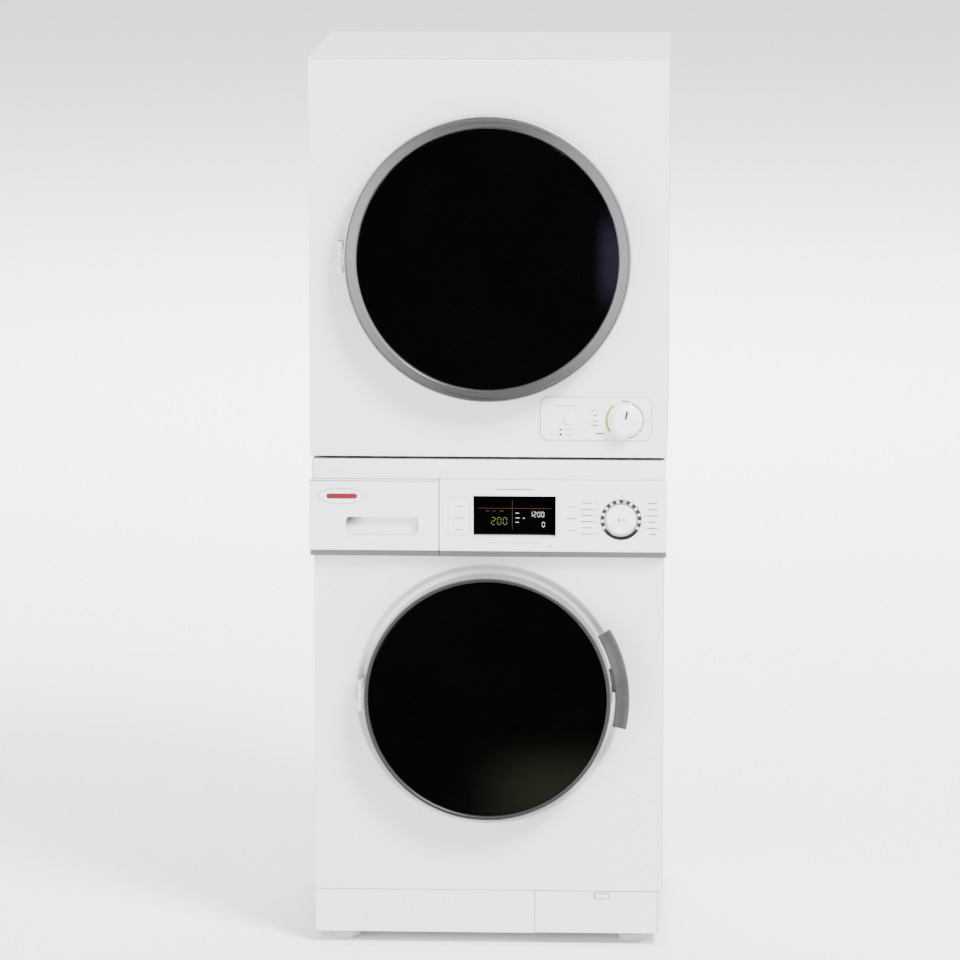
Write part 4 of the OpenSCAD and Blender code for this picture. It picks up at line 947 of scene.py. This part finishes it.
def segments(name, material, spans, inner=28.2, outer=34.0, lift=0.0):
    """Raised printed blocks on the face of the ring, each given by its first angle and its sweep."""
    top = -26.1 - lift
    outline = [(inner, -25.9), (inner, top), (outer, top), (outer, -25.9), (inner, -25.9)]
    blocks = [turned("block", knob_centre, outline, max(3, int(sweep / 3)), sweep, begin, soft=0)
              for begin, sweep in spans]
    return finished(together(name, blocks), material, "programme_ring", slot="trim_silver")


segments("ring_dark", black_print_and_shade, [(-38, 256)])
segments("ring_pale", paints["pale grey"], [(-30 + 21 * k, 8) for k in range(12) if k != 5], 28.6, 33.6, 0.1)
segments("ring_lamp", violet_lamp, [(73, 11)], 28.6, 33.6, 0.1)

# %% Start button with a generic play and pause mark
button = turned("start_cap", knob_centre, [
    (0, -27.2), (19, -27.4), (23.6, -26.9), (25.2, -25.4), (25.5, -24.2), (25.5, -13.4), (0, -13.4)], 96, soft=1.6)
finished(button, key_plastic, "start_key", "start_button", slot="white_plastic")
mark = [dash(kx + x, kz, 1.1, 7.5, front - 0.02705, 0.35) for x in (0.0045, 0.0075)]
arrow = settle(start("cylinder", radius=0.0042, depth=0.0004, vertices=3, location=(kx - 0.003, front - 0.0272, kz),
                     rotation=(math.radians(90), math.radians(90), 0)), "arrow")
finished(together("start_mark", mark + [arrow]), faint_print_and_shade, "start_key", slot="white_plastic")
print("knob done")

# %% Console print: labels beside the knob and over the keys
key_left, key_right = gx - 0.024, gx + wide + 0.026
rows = [0.028, 0.0175, 0.007, -0.0035, -0.014, -0.0245]
printed("programme_labels", grey_print_and_shade, [(kx - 0.0565, kz + z, w, 1.7) for z, w in zip(rows, (17, 21, 19, 22, 18, 20))]
        + [(kx + 0.053, kz + z, w, 1.7) for z, w in zip(rows, (16, 15, 18, 14, 17, 12))], face)
printed("programme_icons", faint_print_and_shade, [(kx - 0.0415, kz + z, 2.6, 2.6) for z in rows]
        + [(kx + 0.0405, kz + z, 2.4, 2.4) for z in rows[1:5]], face)
printed("key_labels", grey_print_and_shade, [(key_left, gz + 0.031 + z, w, 1.5) for z, w in ((0.02, 15), (0, 17), (-0.02, 14))]
        + [(key_right, gz + 0.031 + z, w, 1.5) for z, w in ((0.02, 14), (0, 16), (-0.02, 13))], face - 0.0003)
glass_mid, lock_x = gx + wide * 0.5, gx + wide * 0.93
printed("display_line", grey_print_and_shade, [(glass_mid, gz + high_glass + 0.0115, 62, 1.5), (glass_mid, gz - 0.0105, 88, 0.7)],
        face)
printed("lock_mark", faint_print_and_shade, [(lock_x, gz - 0.0165, 3.4, 2.8), (lock_x, gz - 0.0142, 2.2, 1.6)], face)
printed("knob_tick", grey_print_and_shade, [(kx + 0.0005, kz + 0.0405, 1.2, 3.2)], face)
rim_gap = 0.0026
outline_frame("display_frame", gx - rim_gap, gx + wide + rim_gap, gz - rim_gap, gz + high_glass + rim_gap, 2.4,
              0.35, face, faint_print_and_shade)
outline_frame("left_key_frame", key_left - 0.0185, key_left + 0.0185, gz + 0.001, gz + 0.067, 5, 0.5, face,
              faint_print_and_shade)

# %% Push keys: two columns of three flat keys in fine seams
for name, x in (("left_keys", key_left), ("right_keys", key_right)):
    keys = [tablet("key", (x - 0.0135, face - 0.0003, gz + 0.034 + z - 0.0075),
                   (x + 0.0135, face + 0.0004, gz + 0.034 + z + 0.0015), 2.2, 0.2) for z in (0.02, 0, -0.02)]
    finished(together(name, keys), key_plastic, "base", slot="white_plastic")

# %% [markdown]
# ## Drawer front
# A finger recess with a flat top and a round bottom and painted shade on its floor, darker towards the top left; a
# blank oval plate; and the body behind it.

# %% Drawer front and its recess
low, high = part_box("drawer_front")
drawer = tablet("drawer_face", (low[0], face, low[2]), (high[0], high[1], high[2]), 2.2, 1.4)
scoop_x = (-0.238, -0.116)
scoop = tablet("scoop", (scoop_x[0], face - 0.02, 0.707), (scoop_x[1], face + 0.013, 0.746), 15, 3.0)
flat_top = slab("flat", (scoop_x[0] - 0.01, face - 0.03, 0.740), (scoop_x[1] + 0.01, face + 0.02, 0.76), 0.4)
cut(scoop, flat_top)
cut(drawer, scoop)
finished(drawer, front_plastic, "drawer", "drawer_front", slot="white_plastic")
# painted shade: the recess floor gets a sheet that darkens towards the top left, where the overhang would shade it
recess_painted_shade = skinned("recess painted shade", (0.8, 0.81, 0.83), (0.76, 0.77, 0.79), 0.4, 1500, (0.3, 0.42), 0.02, 0.08)
painted_light_blend(recess_painted_shade, (0.045, 0.045, 0.048), ("X", -0.196, -0.236), ("Z", 0.712, 0.738))
shade_sheet = tablet("recess_shade_sheet", (scoop_x[0] + 0.002, face + 0.0105, 0.7085),
                (scoop_x[1] - 0.002, face + 0.0125, 0.7395), 9, 0.4)
finished(shade_sheet, recess_painted_shade, "drawer", slot="white_plastic")
badge_x, badge_z = -0.244, 0.775


def oval(name, rx, rz, y0, y1, soft):
    """An elliptic plate, made from a squashed cylinder with a softened rim."""
    plate = settle(start("cylinder", radius=1, depth=y1 - y0, vertices=96,
                         location=(badge_x, (y0 + y1) / 2, badge_z), rotation=(math.radians(90), 0, 0),
                         scale=(rx, rz, 1)), name)
    soften(plate, lambda side: len(side.vertices) > 4, soft, 3)
    return plate


badge_rim = oval("badge_rim", 0.0405, 0.0135, face - 0.0003, face + 0.0002, 0.15)
badge_plate = oval("badge_plate", 0.0392, 0.0124, face - 0.00045, face + 0.0002, 0.15)
finished(badge_rim, faint_print_and_shade, "drawer", slot="white_plastic")
finished(badge_plate, front_plastic, "drawer", slot="white_plastic")
bar = tablet("badge_bar", (badge_x - 0.026, face - 0.0006, badge_z - 0.0045),
             (badge_x + 0.026, face + 0.0001, badge_z + 0.0045), 4.2, 0.1)
finished(bar, paints["crimson"], "drawer", slot="white_plastic")
# painted shade: dark strips in the gaps beside and above the drawer front
seam = together("drawer_seam_shade", [
    slab("seam", (-0.0821, face + 0.0002, 0.6845), (-0.0809, face + 0.004, 0.8), 0.1),
    slab("seam", (-0.297, face + 0.0004, 0.8004), (-0.083, face + 0.004, 0.80095), 0.05)])
finished(seam, black_print_and_shade, "base", slot="dark_plastic")
print("drawer front done")

# %% [markdown]
# ## Washer door
# A dark ring with a thin bright outer hairline, a black domed window, and a grey grip hinged at the ring.

# %% Door ring and its hairline
W, V = washer_r / MM, window_r / MM
ring = turned("washer_ring", washer_centre, [
    (V + 0.4, -45.5), (V + 1.2, -48.8), (V + 2.6, -49.9), (W - 2.4, -49.6), (W - 1.3, -47.6), (W - 1.3, -30),
    (W - 1.3, 1), (W - 4, 3.8), (154, 3.8), (152.4, 3.2), (152.4, 1.2), (V - 4, 1.2), (V + 0.4, -2),
    (V + 0.4, -45.5)], 192, soft=0.7)
rim = turned("washer_rim", washer_centre, [
    (W - 1.3, -47.8), (W - 0.9, -48), (W, -47), (W, -6), (W - 1.3, -5), (W - 1.3, -47.8)], 192, soft=0.2)
hinge_x = -0.214
hinge = knuckle("washer_knuckle", hinge_x, hinge_x + 0.01, 0.02, wz)
grip_angle = math.radians(9.25)
out = Vector((math.cos(grip_angle), 0, math.sin(grip_angle)))
along = Vector((-out.z, 0, out.x))
grip_axis = Vector((wx, front - 0.041, wz)) + out * 0.214


def grip_bars(name, half, radius, soft, middles=(-0.0175, 0.0175)):
    """Round bars on the grip's hinge line, each reaching half its length both ways from its middle."""
    return [barrel(name, grip_axis + along * (t - half), grip_axis + along * (t + half), radius, soft)
            for t in middles]


lugs = grip_bars("lug", 0.003, 4.6, 0.6)
finished(ring, washer_silver, "washer_door", "washer_door_ring", slot="dark_ring")
finished(rim, washer_bright, "washer_door", slot="trim_silver")
finished(hinge, enamel, "washer_door", slot="zinc")
finished(together("grip_lugs", lugs), washer_silver, "washer_door", slot="dark_ring")

# %% Window, a shallow dome of dark glass
window = turned("washer_window", washer_centre, [(0, -58)] + [
    (V * k / 16, -45.5 - 12.5 * (1 - (k / 16) ** 2)) for k in range(1, 16)] + [
    (V - 1.0, -46.0), (V, -44.6), (V, -39)] + [
    (V * k / 8, -38.3 - 12.4 * (1 - (k / 8) ** 2)) for k in range(7, 0, -1)] + [(0, -50.7)], 192, soft=0.5)
# the window glass carries a painted reflection in its lower right
finished(window, washer_window_painted_reflection, "washer_door", "washer_door_window", slot="dark_glass")

# %% [markdown]
# ## Grip
# A band that follows the ring, slanted at the top and flat at the bottom, dished along its middle where
# the fingers pull. It is swept as one turned outline and its ends are cut to their angles.

# %% Grip band
gr = 214.0
grip = turned("grip_band", washer_centre, [
    (gr + 0.4, -44.5), (gr + 2.4, -47.6), (gr + 6, -46.2), (gr + 12, -44.8), (gr + 18, -45.6), (gr + 21.5, -47.4),
    (gr + 24.2, -44), (gr + 24.4, -36), (gr + 23, -34.2), (gr + 2, -34.1), (gr + 0.4, -35), (gr + 0.4, -44.5)],
    72, 42.5, -12.0, soft=1.2)
soften(grip, lambda side: len(side.vertices) > 6, 1.1, 4)
cut(grip, *grip_bars("gap", 0.0033, 5.0, 0.1))
knuckle_bar = grip_bars("grip_knuckle", 0.0138, 4.5, 0.4, [0])[0]
finished(together("grip_band", [grip, knuckle_bar]), grey_plastic, "grip", "washer_door_handle", slot="grip_grey")
print("washer door done")

# %% [markdown]
# ## Filter cap
# A round cap behind the flap, with a raised bar to turn it by.

# %% Filter cap
cap_centre, cap_r = middle_of("filter_cap"), radius_of("filter_cap") / MM
cx, cz = cap_centre
cap = turned("cap_body", cap_centre, [
    (0, 7.2), (cap_r - 2, 7.2), (cap_r, 8.4), (cap_r, 11.4), (cap_r - 3.2, 11.8), (cap_r - 3.3, 39.4),
    (0, 39.6)], 72, soft=0.8)
turn_bar = slab("cap_bar", (cx - 0.003, front + 0.0041, cz - 0.016), (cx + 0.003, front + 0.008, cz + 0.016), 0.9)
flutes = []
for k in range(24):
    t = math.radians(15 * k)
    flute_x, flute_z = cx + cap_r * MM * 1.01 * math.cos(t), cz + cap_r * MM * 1.01 * math.sin(t)
    flutes.append(barrel("flute", (flute_x, front + 0.006, flute_z), (flute_x, front + 0.0108, flute_z), 1.0, 0.1, 8))
cut(cap, together("flutes", flutes))
finished(together("cap_body", [cap, turn_bar]), dark_plastic, "cap", "filter_cap", slot="dark_plastic")

# %% [markdown]
# ## Parts kept from the CAD
# What sits inside or behind keeps its CAD mesh and gets a procedural finish.

# %% Finishes for the CAD nodes
finishes = {
    "washer_base": enamel, "feet": liner_plastic, "control_modules": blue_plastic, "drawer_housing": tub_plastic,
    "tub_front": tub_plastic, "tub_rear": tub_plastic, "door_gaskets": rubber, "tub_ballast": cast_iron,
    "tub_suspension": zinc, "drum_bearings": zinc, "washer_motor": cast_iron, "drain_pump": dark_plastic,
    "inlet_valve": blue_plastic, "motor_pulley": zinc, "drive_belts": black_rubber, "heaters": zinc,
    "door_hinges": enamel, "door_locks": dark_plastic, "screws": zinc, "cord_glands": black_rubber,
    "stack_brackets": zinc, "dryer_bulkheads": zinc, "exhaust_duct": aluminium, "dryer_motor": cast_iron,
    "washer_drum": washer_steel, "drum_spider": aluminium, "dryer_drum": dryer_steel, "blower_wheel": dark_plastic,
    "lint_filter": grey_plastic, "drawer_tray": liner_plastic, "washer_door_bowl": bowl_glass,
    "washer_door_hook": zinc, "dryer_base": grey_plastic,
}
stood_for = {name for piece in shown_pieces() for name in piece.get("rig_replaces", [])}
left = [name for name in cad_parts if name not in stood_for]
for name in left:
    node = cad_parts[name]
    node.data.materials.clear()
    node.data.materials.append(finishes[name])
print("CAD nodes shown:", len(left))

# %% [markdown]
# ## Floor and light
# A plain pale floor, a white surround, one broad soft light from the upper right and a weak fill.

# %% Floor
floor = start("plane", size=60, location=(0, 0, 0))
floor.name = "floor"
floor_white = skinned("studio floor", (0.93, 0.93, 0.93), (0.91, 0.91, 0.91), 0.2, 3, (0.75, 0.85), 0.0, 0.0)
floor.data.materials.append(floor_white)
floor.visible_glossy = False
floor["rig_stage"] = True

# %% World: white behind the stack, dim behind the camera so that the glass stays black
world = bpy.data.worlds.new("surround")
bpy.context.scene.world = world
world.use_nodes = True
sky = world.node_tree
ground = sky.nodes["Background"]
ground.inputs["Color"].default_value = (1, 1, 1, 1)
aim_at = add_node(sky, "ShaderNodeTexCoord", (-1000, 0))
aim_parts = add_node(sky, "ShaderNodeSeparateXYZ", (-800, 0))
sky.links.new(aim_at.outputs["Generated"], aim_parts.inputs[0])
behind = add_node(sky, "ShaderNodeMapRange", (-600, 0), interpolation_type="SMOOTHSTEP")
for label, value in (("From Min", -0.96), ("From Max", -0.35), ("To Min", 0.012), ("To Max", 1.9)):
    behind.inputs[label].default_value = value
sky.links.new(aim_parts.outputs["Y"], behind.inputs["Value"])
rays = add_node(sky, "ShaderNodeLightPath", (-600, 300))
seen = add_node(sky, "ShaderNodeMix", (-300, 0), data_type="FLOAT")
sky.links.new(rays.outputs["Is Camera Ray"], seen.inputs[0])
sky.links.new(behind.outputs[0], seen.inputs[2])
seen.inputs[3].default_value = 6.0
sky.links.new(seen.outputs[0], ground.inputs["Strength"])


def lamp(name, spot, aim, size, power):
    """A square soft light that looks at a point."""
    data = bpy.data.lights.new(name, "AREA")
    data.size = size
    data.energy = power
    light = bpy.data.objects.new(name, data)
    light.location = spot
    light.rotation_euler = (Vector(aim) - Vector(spot)).to_track_quat("-Z", "Y").to_euler()
    bpy.context.scene.collection.objects.link(light)
    light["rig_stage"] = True
    return light


lamp("key light", (3.0, -3.6, 5.4), (0, 0, 0.7), 1.8, 1250)
lamp("background light", (0, 5.5, 6.5), (0, 10, 0), 5.0, 2600)
lamp("fill light", (-4.6, -5.2, 2.0), (0, 0, 0.7), 3.0, 330)

# %% [markdown]
# The sizes are written out.

# %% Sizes
low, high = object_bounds()
print("pieces made:", len(made), "box:", list(low), list(high))
